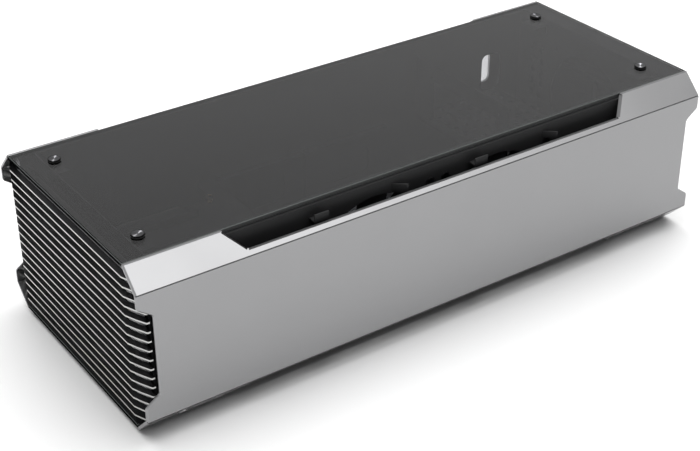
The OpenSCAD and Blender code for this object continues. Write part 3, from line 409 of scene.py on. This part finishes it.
def tinted_glass():
    # Toughened glass with a grey tint: a mirror-smooth face, dark sides, a ground chamfer that draws
    # a thin dull line along the edge, and a narrow printed border at both ends. The short ends are
    # painted near-black as painted shade, darker than the long sides, which alone keep a faint
    # sheen.
    material, tree, shader = new_material("tinted_toughened_glass", IOR=1.45)
    # A face's normal rises above face_level, and a side's stays under wall_level.
    face_level, wall_level, side_level = 0.95, 0.4, 0.5
    long_side_sheen, face_specular, edge_roughness = 0.15, 0.5, 0.4
    surface = add_node(tree, "ShaderNodeNewGeometry")
    split = add_node(tree, "ShaderNodeSeparateXYZ", inputs={
        "Vector": surface.outputs["True Normal"]})
    level = add_node(tree, "ShaderNodeMath", {"operation": "ABSOLUTE"}, {0: split.outputs["Z"]})
    across = add_node(tree, "ShaderNodeMath", {"operation": "ABSOLUTE"}, {0: split.outputs["Y"]})
    flat = add_node(tree, "ShaderNodeMath", {"operation": "GREATER_THAN"}, {
        0: level.outputs[0], 1: face_level})
    slope = add_node(tree, "ShaderNodeMath", {"operation": "LESS_THAN"}, {
        0: level.outputs[0], 1: face_level})
    wall = add_node(tree, "ShaderNodeMath", {"operation": "LESS_THAN"}, {
        0: level.outputs[0], 1: wall_level})
    long_side = add_node(tree, "ShaderNodeMath", {"operation": "GREATER_THAN"}, {
        0: across.outputs[0], 1: side_level})
    place = add_node(tree, "ShaderNodeTexCoord")
    along = add_node(tree, "ShaderNodeSeparateXYZ", inputs={"Vector": place.outputs["Object"]})
    reach = add_node(tree, "ShaderNodeMath", {"operation": "ABSOLUTE"}, {0: along.outputs["X"]})
    ends = add_node(tree, "ShaderNodeMath", {"operation": "GREATER_THAN"}, {
        0: reach.outputs[0], 1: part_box("upper_glass")[1][0] - sizes().glass_border})
    border = add_node(tree, "ShaderNodeMath", {"operation": "MULTIPLY"}, {
        0: ends.outputs[0], 1: flat.outputs[0]})
    side = add_node(tree, "ShaderNodeMath", {"operation": "MAXIMUM"}, {
        0: wall.outputs[0], 1: border.outputs[0]})
    edge = add_node(tree, "ShaderNodeMath", {"operation": "MAXIMUM"}, {
        0: slope.outputs[0], 1: border.outputs[0]})
    clear = add_node(tree, "ShaderNodeMath", {"operation": "SUBTRACT"}, {
        0: 1.0, 1: edge.outputs[0]})
    # Painted shade: the short ends take the near-black end tone, the long sides the lighter side
    # tone and a faint sheen.
    side_tone = add_node(tree, "ShaderNodeMix", {"data_type": "RGBA"}, {
        "Factor": long_side.outputs[0], 6: colour("glass_end_shade_and_print"), 7: colour("glass_side")})
    rim_tone = add_node(tree, "ShaderNodeMix", {"data_type": "RGBA"}, {
        "Factor": side.outputs[0], 6: colour("glass_chamfer"), 7: side_tone.outputs[2]})
    tone = add_node(tree, "ShaderNodeMix", {"data_type": "RGBA"}, {
        "Factor": edge.outputs[0], 6: colour("glass"), 7: rim_tone.outputs[2]})
    rough = add_node(tree, "ShaderNodeMath", {"operation": "MULTIPLY"}, {
        0: edge.outputs[0], 1: edge_roughness})
    sheen = add_node(tree, "ShaderNodeMath", {"operation": "MULTIPLY"}, {
        0: long_side.outputs[0], 1: long_side_sheen})
    specular = add_node(tree, "ShaderNodeMath", {"operation": "MULTIPLY_ADD"}, {
        0: clear.outputs[0], 1: face_specular, 2: sheen.outputs[0]})
    tree.links.new(tone.outputs[2], shader.inputs["Base Color"])
    tree.links.new(rough.outputs[0], shader.inputs["Roughness"])
    tree.links.new(clear.outputs[0], shader.inputs["Transmission Weight"])
    tree.links.new(specular.outputs[0], shader.inputs["Specular IOR Level"])
    return material


def powder_coat():
    # Steel sheet with a baked powder coat: matte black with a fine orange-peel texture.
    material, tree, shader = new_material(
        "black_powder_coat", Base_Color=colour("steel"), Roughness=0.55,
        Specular_IOR_Level=0.3)
    grain(tree, shader, 0.9 * MM, 0.01 * MM)
    return material


def moulded_abs():
    # ABS from a spark-eroded mould: matte black with a faint, even texture.
    material, tree, shader = new_material(
        "black_moulded_abs", Base_Color=colour("plastic"), Specular_IOR_Level=0.3)
    grain(tree, shader, 0.7 * MM, 0.02 * MM)
    vary_roughness(tree, shader, 25 * MM, 0.48, 0.58)
    return material


def matte_frame():
    # Moulded frame of the end cover, sprayed with a dead-matte black paint.
    material, tree, shader = new_material(
        "black_matte_paint", Base_Color=colour("paint"), Specular_IOR_Level=0.03)
    vary_roughness(tree, shader, 25 * MM, 0.6, 0.7)
    return material


def fan_plastic():
    # Glass-filled PBT of fan rotors: dark grey, a little smoother than the frames.
    material, tree, shader = new_material(
        "grey_fan_plastic", Base_Color=colour("rotor"))
    grain(tree, shader, 1.2 * MM, 0.02 * MM)
    vary_roughness(tree, shader, 30 * MM, 0.35, 0.45)
    return material


def silicone_rubber():
    # Moulded silicone rubber: dead matte, a little dusty.
    material, tree, shader = new_material(
        "black_silicone_rubber", Base_Color=colour("rubber"), Sheen_Weight=0.15)
    grain(tree, shader, 0.5 * MM, 0.02 * MM)
    vary_roughness(tree, shader, 8 * MM, 0.75, 0.9)
    return material


def turned_black(centre, radius):
    # Steel screw turned on a lathe and blackened: rings that stretch the highlight into
    # a bright hourglass, and a darker rim. The tangent runs round each screw's own axis.
    material, tree, shader = new_material(
        "turned_black_steel", Base_Color=colour("screw"), Metallic=1.0, Roughness=0.35,
        Anisotropic=0.9, Anisotropic_Rotation=0.25)
    face_end, rim_start = 0.84 * radius, 0.9 * radius
    place = add_node(tree, "ShaderNodeTexCoord")
    split = add_node(tree, "ShaderNodeSeparateXYZ", inputs={"Vector": place.outputs["Object"]})
    local = []
    for axis, offset in (("X", centre.x), ("Y", centre.y)):
        side = add_node(tree, "ShaderNodeMath", {"operation": "SIGN"}, {0: split.outputs[axis]})
        local.append(add_node(tree, "ShaderNodeMath", {"operation": "MULTIPLY_ADD"}, {
            0: side.outputs[0], 1: -offset, 2: split.outputs[axis]}))
    back = add_node(tree, "ShaderNodeMath", {"operation": "MULTIPLY"},
                    {0: local[1].outputs[0], 1: -1.0})
    tangent = add_node(tree, "ShaderNodeCombineXYZ", inputs={
        "X": back.outputs[0], "Y": local[0].outputs[0]})
    even = add_node(tree, "ShaderNodeVectorMath", {"operation": "NORMALIZE"},
                    {0: tangent.outputs[0]})
    tree.links.new(even.outputs[0], shader.inputs["Tangent"])
    flat = add_node(tree, "ShaderNodeCombineXYZ", inputs={
        "X": local[0].outputs[0], "Y": local[1].outputs[0]})
    reach = add_node(tree, "ShaderNodeVectorMath", {"operation": "LENGTH"}, {0: flat.outputs[0]})
    rim = add_node(tree, "ShaderNodeMapRange", inputs={
        "Value": reach.outputs["Value"], "From Min": face_end, "From Max": rim_start})
    tone = add_node(tree, "ShaderNodeMix", {"data_type": "RGBA"}, {
        "Factor": rim.outputs["Result"], 6: colour("screw"), 7: colour("screw_rim")})
    tree.links.new(tone.outputs[2], shader.inputs["Base Color"])
    return material


def blackened_steel():
    # Small machine screws: blackened steel with a soft oily sheen.
    material, tree, shader = new_material(
        "blackened_steel", Base_Color=colour("small_screw"), Metallic=1.0)
    vary_roughness(tree, shader, 3 * MM, 0.3, 0.42)
    return material


def ground_fins():
    # Aluminium blades, anodised black and then ground on their outer edges: black faces
    # and bright bare edges with fine lengthwise scratches.
    material, tree, shader = new_material("black_fins_ground_edges")
    edge_level = 0.5
    along, upright = 120, 4000          # scratches a metre: long ones, closely stacked
    surface = add_node(tree, "ShaderNodeNewGeometry")
    split = add_node(tree, "ShaderNodeSeparateXYZ", inputs={
        "Vector": surface.outputs["True Normal"]})
    level = add_node(tree, "ShaderNodeMath", {"operation": "ABSOLUTE"}, {0: split.outputs["Z"]})
    edge = add_node(tree, "ShaderNodeMath", {"operation": "LESS_THAN"}, {
        0: level.outputs[0], 1: edge_level})
    tone = add_node(tree, "ShaderNodeMix", {"data_type": "RGBA"}, {
        "Factor": edge.outputs[0], 6: colour("blade"), 7: colour("ground")})
    place = add_node(tree, "ShaderNodeTexCoord")
    stretch = add_node(tree, "ShaderNodeMapping", inputs={
        "Vector": place.outputs["Object"], "Scale": (along, along, upright)})
    scratch = add_node(tree, "ShaderNodeTexNoise", inputs={
        "Vector": stretch.outputs["Vector"], "Scale": 1.0, "Detail": 2.0})
    rough = add_node(tree, "ShaderNodeMapRange", inputs={
        "Value": scratch.outputs["Fac"], "To Min": 0.3, "To Max": 0.5})
    tree.links.new(tone.outputs[2], shader.inputs["Base Color"])
    tree.links.new(edge.outputs[0], shader.inputs["Metallic"])
    tree.links.new(rough.outputs["Result"], shader.inputs["Roughness"])
    return material


def wire_with_painted_light():
    # Fine steel wire, given a pale grey as painted light: the pale tone lifts the mesh that sits in
    # the shade behind the fins; soft lights on round wires.
    material, tree, shader = new_material(
        "wire_lifted_by_painted_light", Base_Color=colour("wire"))
    vary_roughness(tree, shader, 20 * MM, 0.4, 0.5)
    return material


def filter_nylon():
    # Woven black nylon of the dust filter: matte threads that let little light through.
    # They are drawn at 0.8 mm, coarser than the real 0.3 mm weave, so that they show.
    material, tree, shader = new_material(
        "black_filter_nylon", Base_Color=colour("thread"), Specular_IOR_Level=0.1)
    vary_roughness(tree, shader, 15 * MM, 0.6, 0.75)
    return material


def turned_brass():
    # Turned brass standoffs: warm metal with slight tarnish.
    material, tree, shader = new_material(
        "turned_brass", Base_Color=colour("brass"), Metallic=1.0)
    vary_roughness(tree, shader, 4 * MM, 0.22, 0.34)
    return material


def plated_steel():
    # Nickel-plated pressed steel: bright, with slight unevenness from the press.
    material, tree, shader = new_material(
        "nickel_plated_steel", Base_Color=colour("plated"), Metallic=1.0)
    vary_roughness(tree, shader, 5 * MM, 0.18, 0.28)
    return material


def studio_floor():
    # A seamless white studio floor. It shows as white to the camera and in reflections,
    # and keeps the soft shadow of the case.
    return new_material("white_studio_floor", Base_Color=colour("floor"), Roughness=0.9,
                        Specular_IOR_Level=0.0)[0]


def seen_directly(tree):
    """1 for camera, glossy and transmission rays, and 0 for the rays that carry light."""
    path = add_node(tree, "ShaderNodeLightPath")
    near = add_node(tree, "ShaderNodeMath", {"operation": "ADD"}, {
        0: path.outputs["Is Camera Ray"], 1: path.outputs["Is Glossy Ray"]})
    every = add_node(tree, "ShaderNodeMath", {"operation": "ADD", "use_clamp": True}, {
        0: near.outputs[0], 1: path.outputs["Is Transmission Ray"]})
    return every.outputs[0]


# Pieces

def wire_mesh_tree():
    """Crossing wires that follow a line in the XY plane and stand up along Z."""
    tree = new_tree("Wire Mesh", [
        ("Pitch", "NodeSocketFloat"), ("Radius", "NodeSocketFloat"), ("Low", "NodeSocketFloat"),
        ("High", "NodeSocketFloat"), ("Material", "NodeSocketMaterial")])
    group = add_node(tree, "NodeGroupInput")
    path = add_node(tree, "GeometryNodeMeshToCurve", inputs={"Mesh": group.outputs["Geometry"]})
    height = add_node(tree, "ShaderNodeMath", {"operation": "SUBTRACT"}, {
        0: group.outputs["High"], 1: group.outputs["Low"]})
    rows = add_node(tree, "ShaderNodeMath", {"operation": "DIVIDE"}, {
        0: height.outputs[0], 1: group.outputs["Pitch"]})
    step = add_node(tree, "ShaderNodeCombineXYZ", inputs={"Z": group.outputs["Pitch"]})
    start = add_node(tree, "ShaderNodeCombineXYZ", inputs={"Z": group.outputs["Low"]})
    end = add_node(tree, "ShaderNodeCombineXYZ", inputs={"Z": group.outputs["High"]})
    levels = add_node(tree, "GeometryNodeMeshLine", {"mode": "OFFSET"}, {
        "Count": rows.outputs[0], "Start Location": start.outputs[0], "Offset": step.outputs[0]})
    level_wires = add_node(tree, "GeometryNodeInstanceOnPoints", inputs={
        "Points": levels.outputs["Mesh"], "Instance": path.outputs["Curve"]})
    spots = add_node(tree, "GeometryNodeResampleCurve", {"mode": "LENGTH"}, {
        "Curve": path.outputs["Curve"], "Length": group.outputs["Pitch"]})
    upright = add_node(tree, "GeometryNodeCurvePrimitiveLine", inputs={
        "Start": start.outputs[0], "End": end.outputs[0]})
    upright_wires = add_node(tree, "GeometryNodeInstanceOnPoints", inputs={
        "Points": spots.outputs["Curve"], "Instance": upright.outputs["Curve"]})
    both = add_node(tree, "GeometryNodeJoinGeometry")
    tree.links.new(level_wires.outputs["Instances"], both.inputs["Geometry"])
    tree.links.new(upright_wires.outputs["Instances"], both.inputs["Geometry"])
    real = add_node(tree, "GeometryNodeRealizeInstances", inputs={
        "Geometry": both.outputs["Geometry"]})
    section = add_node(tree, "GeometryNodeCurvePrimitiveCircle", inputs={
        "Resolution": 4, "Radius": group.outputs["Radius"]})
    wires = add_node(tree, "GeometryNodeCurveToMesh", inputs={
        "Curve": real.outputs["Geometry"], "Profile Curve": section.outputs["Curve"],
        "Fill Caps": True})
    solid = add_node(tree, "GeometryNodeRealizeInstances", inputs={
        "Geometry": wires.outputs["Mesh"]})
    painted = add_node(tree, "GeometryNodeSetMaterial", inputs={
        "Geometry": solid.outputs["Geometry"], "Material": group.outputs["Material"]})
    add_node(tree, "NodeGroupOutput", inputs={"Geometry": painted.outputs["Geometry"]})
    return tree


def wire_mesh(name, paths, low, high, pitch, radius, material):
    """A woven sheet along one or more lines of XY points, between two heights."""
    shape = bmesh.new()
    for points in paths:
        verts = [shape.verts.new((x, y, 0)) for x, y in points]
        for first, second in zip(verts, verts[1:]):
            shape.edges.new((first, second))
    mesh = bpy.data.meshes.new(name)
    shape.to_mesh(mesh)
    shape.free()
    piece = link_piece(name, mesh)
    modifier = piece.modifiers.new("Wire Mesh", "NODES")
    modifier.node_group = bpy.data.node_groups.get("Wire Mesh") or wire_mesh_tree()
    set_inputs(modifier, {
        "Pitch": pitch, "Radius": radius, "Low": low, "High": high, "Material": material})
    return baked(piece)


def knurl_tree():
    """Upright ridges round every point of the input, as on a knurled head."""
    tree = new_tree("Knurled Heads", [
        ("Count", "NodeSocketInt"), ("Head Radius", "NodeSocketFloat"),
        ("Ridge Radius", "NodeSocketFloat"), ("Height", "NodeSocketFloat"),
        ("Material", "NodeSocketMaterial")])
    group = add_node(tree, "NodeGroupInput")
    ring = add_node(tree, "GeometryNodeMeshCircle", inputs={
        "Vertices": group.outputs["Count"], "Radius": group.outputs["Head Radius"]})
    ridge = add_node(tree, "GeometryNodeMeshCylinder", inputs={
        "Vertices": 6, "Radius": group.outputs["Ridge Radius"],
        "Depth": group.outputs["Height"]})
    ridges = add_node(tree, "GeometryNodeInstanceOnPoints", inputs={
        "Points": ring.outputs["Mesh"], "Instance": ridge.outputs["Mesh"]})
    heads = add_node(tree, "GeometryNodeInstanceOnPoints", inputs={
        "Points": group.outputs["Geometry"], "Instance": ridges.outputs["Instances"]})
    real = add_node(tree, "GeometryNodeRealizeInstances", inputs={
        "Geometry": heads.outputs["Instances"]})
    painted = add_node(tree, "GeometryNodeSetMaterial", inputs={
        "Geometry": real.outputs["Geometry"], "Material": group.outputs["Material"]})
    add_node(tree, "NodeGroupOutput", inputs={"Geometry": painted.outputs["Geometry"]})
    return tree


class CASE_OT_panels(bpy.types.Operator):
    """Finish the bent aluminium panels and the power button."""

    bl_idname = "case.panels"
    bl_label = "Panels"

    def execute(self, context):
        aluminium, groove = satin_anodised(), groove_painted_shade()
        for node in ("front_panel", "rear_panel"):
            finished_panel(node, (aluminium, groove), "case")
        finish_node("power_button", aluminium)
        return {"FINISHED"}


class CASE_OT_glass(bpy.types.Operator):
    """Finish the glass sides."""

    bl_idname = "case.glass"
    bl_label = "Glass"

    def execute(self, context):
        glass = tinted_glass()
        for node in ("upper_glass", "lower_glass"):
            finish_node(node, glass)
        return {"FINISHED"}


class CASE_OT_screws(bpy.types.Operator):
    """Finish the screws, and knurl the heads of the thumbscrews."""

    bl_idname = "case.screws"
    bl_label = "Screws"

    def execute(self, context):
        corner = [v.co for v in NODES["upper_thumbscrews"].data.vertices
                  if v.co.x > 0 and v.co.y > 0]
        low, high = (Vector(pick(axis) for axis in zip(*corner)) for pick in (min, max))
        centre, radius = (low + high) / 2, (high.x - low.x) / 2
        band = sizes().knurl_height
        turned = turned_black(centre, radius)
        for node, side in (("upper_thumbscrews", 1), ("lower_thumbscrews", -1)):
            finish_node(node, turned)
            bottom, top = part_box(node)
            middle = top[2] - band if side > 0 else bottom[2] + band
            mesh = bpy.data.meshes.new(node + "_knurl")
            mesh.from_pydata([(sx * centre.x, sy * centre.y, middle)
                              for sx in (-1, 1) for sy in (-1, 1)], [], [])
            piece = link_piece(node + "_knurl", mesh)
            modifier = piece.modifiers.new("Knurled Heads", "NODES")
            modifier.node_group = bpy.data.node_groups.get("Knurled Heads") or knurl_tree()
            set_inputs(modifier, {
                "Count": sizes().knurl_count, "Head Radius": radius,
                "Ridge Radius": sizes().knurl_size, "Height": band, "Material": turned})
            baked(piece)
            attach(piece, "case")
        black = blackened_steel()
        for node in ("fan_screws", "slot_cover_screws"):
            finish_node(node, black)
        return {"FINISHED"}


class CASE_OT_steel(bpy.types.Operator):
    """Finish the steel frame inside, the brass standoffs and the plated pieces."""

    bl_idname = "case.steel"
    bl_label = "Steel Frame"

    def execute(self, context):
        coat = powder_coat()
        for node in ("front_wall", "rear_wall", "io_bulkhead", "base_bulkhead",
                     "glass_brackets", "board_tray", "slot_covers", "psu_bracket",
                     "riser_bracket", "ssd_tray_a", "ssd_tray_b"):
            finish_node(node, coat)
        finish_node("board_standoffs", turned_brass())
        plated = plated_steel()
        for node in ("glass_posts", "usb_ports"):
            finish_node(node, plated)
        return {"FINISHED"}


class CASE_OT_plastics(bpy.types.Operator):
    """Finish the plastic and rubber pieces."""

    bl_idname = "case.plastics"
    bl_label = "Plastics and Rubber"

    def execute(self, context):
        plastic = moulded_abs()
        for node in ("front_panel_studs", "rear_panel_studs", "riser_socket", "riser_plug",
                     "fan_frame_a", "fan_frame_b", "io_housing", "base_cover_frame",
                     "base_filter"):
            finish_node(node, plastic)
        finish_node("end_cover_frame", matte_frame())
        rotor = fan_plastic()
        for node in ("fan_rotor_a", "fan_rotor_b"):
            finish_node(node, rotor)
        rubber = silicone_rubber()
        for node in ("upper_grommets", "lower_grommets", "rubber_feet", "base_pads",
                     "riser_ribbon"):
            finish_node(node, rubber)
        return {"FINISHED"}


class CASE_OT_end_cover(bpy.types.Operator):
    """Finish the fins and weave the mesh behind them."""

    bl_idname = "case.end_cover"
    bl_label = "Finned End Cover"

    def execute(self, context):
        finish_node("end_cover_fins", ground_fins())
        low, high = (Vector(corner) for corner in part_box("end_cover_mesh"))
        rail, glass_room = 0.5 * MM, 6.5 * MM
        piece = wire_mesh("end_cover_wires", [cover_line(low, high)],
                          low.z + rail, high.z - glass_room,
                          sizes().wire_pitch, sizes().wire_radius, wire_with_painted_light())
        trim_corners(piece, top_corner("end_cover_mesh") - WIRE_INSET)
        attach(piece, "end_cover")
        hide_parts("end_cover_mesh")
        return {"FINISHED"}


def cover_line(low, high):
    """The plan of the mesh behind the fins: flat in front, bent twice to each side."""
    bend, flat_end = 11.4 * MM, 21.4 * MM
    bend_depth, side_depth = 3.8 * MM, 9.1 * MM
    front, reach = low.x + WIRE_INSET, high.y - WIRE_INSET
    half = [(high.x, reach), (front + side_depth, reach), (front + bend_depth, reach - bend),
            (front, reach - flat_end)]
    half = [point for point in half if point[0] <= high.x]
    return half + [(x, -y) for x, y in reversed(half)]


def top_corner(node):
    """The largest sum of width and height in a node, whose upper edges are cut at 45 degrees."""
    return max(abs(vert.co.y) + vert.co.z for vert in NODES[node].data.vertices)


def trim_corners(piece, reach):
    """Cuts wires off where width and height add up to more than reach, and caps them."""
    shape = bmesh.new()
    shape.from_mesh(piece.data)
    for side in (-1, 1):
        cut = bmesh.ops.bisect_plane(
            shape, geom=shape.verts[:] + shape.edges[:] + shape.faces[:],
            plane_co=(0, 0, reach), plane_no=(0, side, 1), clear_outer=True)
        rims = [item for item in cut["geom_cut"] if isinstance(item, bmesh.types.BMEdge)]
        bmesh.ops.edgeloop_fill(shape, edges=rims)
    shape.to_mesh(piece.data)
    shape.free()


class CASE_OT_base_filter(bpy.types.Operator):
    """Weave the mesh of the dust filter, on both sides of its middle bar."""

    bl_idname = "case.base_filter"
    bl_label = "Dust Filter"

    def execute(self, context):
        low, high = (Vector(corner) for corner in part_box("base_filter_mesh"))
        x = (low.x + high.x) / 2
        bar = 1.5 * MM
        piece = wire_mesh("base_filter_wires", [[(x, low.y), (x, -bar)], [(x, bar), (x, high.y)]],
                          low.z, high.z, sizes().filter_pitch, sizes().filter_radius,
                          filter_nylon())
        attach(piece, "filter")
        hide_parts("base_filter_mesh")
        return {"FINISHED"}


class CASE_OT_stage(bpy.types.Operator):
    """Set the floor, the world, the lamps and the camera."""

    bl_idname = "case.stage"
    bl_label = "Stage"

    def execute(self, context):
        add_floor()
        set_world(context.scene)
        add_screw_lamps()
        add_camera(context.scene)
        context.scene.view_settings.view_transform = "Standard"
        return {"FINISHED"}


def add_floor():
    """A floor that runs far past the view, with its faces up."""
    half = 30.0
    mesh = bpy.data.meshes.new("studio_floor")
    mesh.from_pydata([(-half, -half, 0), (half, -half, 0), (half, half, 0), (-half, half, 0)],
                     [], [(0, 1, 2, 3)])
    mesh.materials.append(studio_floor())
    link_piece("studio_floor", mesh)


def set_world(scene):
    """White to the eye, with a soft light overhead and the mirrored patches of the sky."""
    world = bpy.data.worlds.new("studio_world")
    scene.world = world
    world.use_nodes = True
    tree = world.node_tree
    tree.nodes.clear()
    ambient, overhead, mirrored = 0.15, 3.1, 0.9
    path = add_node(tree, "ShaderNodeLightPath")
    carried = add_node(tree, "ShaderNodeMapRange", inputs={
        "Value": soft_box(tree, *OVERHEAD_LIGHT), "To Min": ambient, "To Max": overhead})
    for toward, edge, full, change in MIRRORED_SKY:
        patch = add_node(tree, "ShaderNodeMath", {"operation": "MULTIPLY_ADD"}, {
            0: soft_box(tree, toward, edge, full), 1: change, 2: mirrored})
        mirrored = patch.outputs[0]
    seen = add_node(tree, "ShaderNodeMapRange", inputs={
        "Value": path.outputs["Is Glossy Ray"], "To Min": 1.0, "To Max": mirrored})
    strength = add_node(tree, "ShaderNodeMapRange", inputs={
        "Value": seen_directly(tree), "To Min": carried.outputs["Result"],
        "To Max": seen.outputs["Result"]})
    glow = add_node(tree, "ShaderNodeBackground", inputs={
        "Color": (1.0, 1.0, 1.0, 1.0), "Strength": strength.outputs["Result"]})
    out = add_node(tree, "ShaderNodeOutputWorld")
    tree.links.new(glow.outputs["Background"], out.inputs["Surface"])


def add_screw_lamps():
    """Two small lamps that light only the upper thumbscrews and draw their hourglass glint."""
    stage = bpy.context.scene.case_stage
    receivers = bpy.data.collections.new("lit_thumbscrews")
    receivers.objects.link(NODES["upper_thumbscrews"])
    receivers.objects.link(bpy.data.objects["upper_thumbscrews_knurl"])
    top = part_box("upper_thumbscrews")[1]
    for aim_x, toward in SCREW_LAMPS:
        toward = Vector(toward).normalized()
        data = bpy.data.lights.new("screw_lamp", "SPOT")
        data.energy = stage.lamp_power
        data.spot_size = math.radians(32.0)
        data.spot_blend = 0.3
        data.shadow_soft_size = 0.03
        lamp = link_piece("screw_lamp", data)
        spot = Vector((aim_x, 0.0, top[2])) + toward * stage.lamp_distance
        turn = toward.to_track_quat("Z", "Y").to_matrix().to_4x4()
        lamp.matrix_world = Matrix.Translation(spot) @ turn
        lamp.light_linking.receiver_collection = receivers


def soft_box(tree, toward, edge, full):
    """0 outside and 1 inside a round patch of the sky; edge and full are cosines."""
    place = add_node(tree, "ShaderNodeTexCoord")
    level = add_node(tree, "ShaderNodeVectorMath", {"operation": "DOT_PRODUCT"}, {
        0: place.outputs["Generated"], 1: Vector(toward).normalized()})
    patch = add_node(tree, "ShaderNodeMapRange", {"interpolation_type": "SMOOTHSTEP"}, {
        "Value": level.outputs["Value"], "From Min": edge, "From Max": full})
    return patch.outputs["Result"]


def add_camera(scene):
    """The photograph's camera, worked out from its azimuth, elevation, roll and lens."""
    stage = scene.case_stage
    data = bpy.data.cameras.new("photo_camera")
    data.sensor_fit = "HORIZONTAL"
    data.sensor_width = 36.0
    data.lens = stage.lens
    data.clip_end = 100.0
    camera = bpy.data.objects.new("photo_camera", data)
    scene.collection.objects.link(camera)
    level = math.cos(stage.elevation)
    back = Vector((math.sin(stage.azimuth) * level, -math.cos(stage.azimuth) * level,
                   math.sin(stage.elevation)))
    right = Vector((0, 0, 1)).cross(back).normalized()
    up = back.cross(right)
    turn = Matrix.Rotation(stage.roll, 3, back)
    basis = Matrix((turn @ right, turn @ up, back)).transposed().to_4x4()
    camera.matrix_world = Matrix.Translation(Vector(stage.aim) + back * stage.distance) @ basis
    scene.camera = camera


class CASE_PT_panel(bpy.types.Panel):
    """Lists the steps that finish the case."""

    bl_idname = "CASE_PT_panel"
    bl_label = "Slim Case"
    bl_space_type = "VIEW_3D"
    bl_region_type = "UI"
    bl_category = "Case"

    def draw(self, context):
        for step in STEPS:
            self.layout.operator(step.bl_idname)


STEPS = (CASE_OT_panels, CASE_OT_glass, CASE_OT_screws, CASE_OT_steel, CASE_OT_plastics,
         CASE_OT_end_cover, CASE_OT_base_filter, CASE_OT_stage)
GROUPS = {"case_sizes": CaseSizes, "case_colours": CaseColours, "case_stage": StageSettings}


def register():
    for group in GROUPS.values():
        bpy.utils.register_class(group)
    for step in STEPS:
        bpy.utils.register_class(step)
    bpy.utils.register_class(CASE_PT_panel)
    for name, group in GROUPS.items():
        setattr(bpy.types.Scene, name, bpy.props.PointerProperty(type=group))


def unregister():
    for name in GROUPS:
        delattr(bpy.types.Scene, name)
    bpy.utils.unregister_class(CASE_PT_panel)
    for step in reversed(STEPS):
        bpy.utils.unregister_class(step)
    for group in reversed(tuple(GROUPS.values())):
        bpy.utils.unregister_class(group)


def main():
    register()
    for step in STEPS:
        module, name = step.bl_idname.split(".")
        getattr(getattr(bpy.ops, module), name)()


if __name__ == "__main__":
    main()
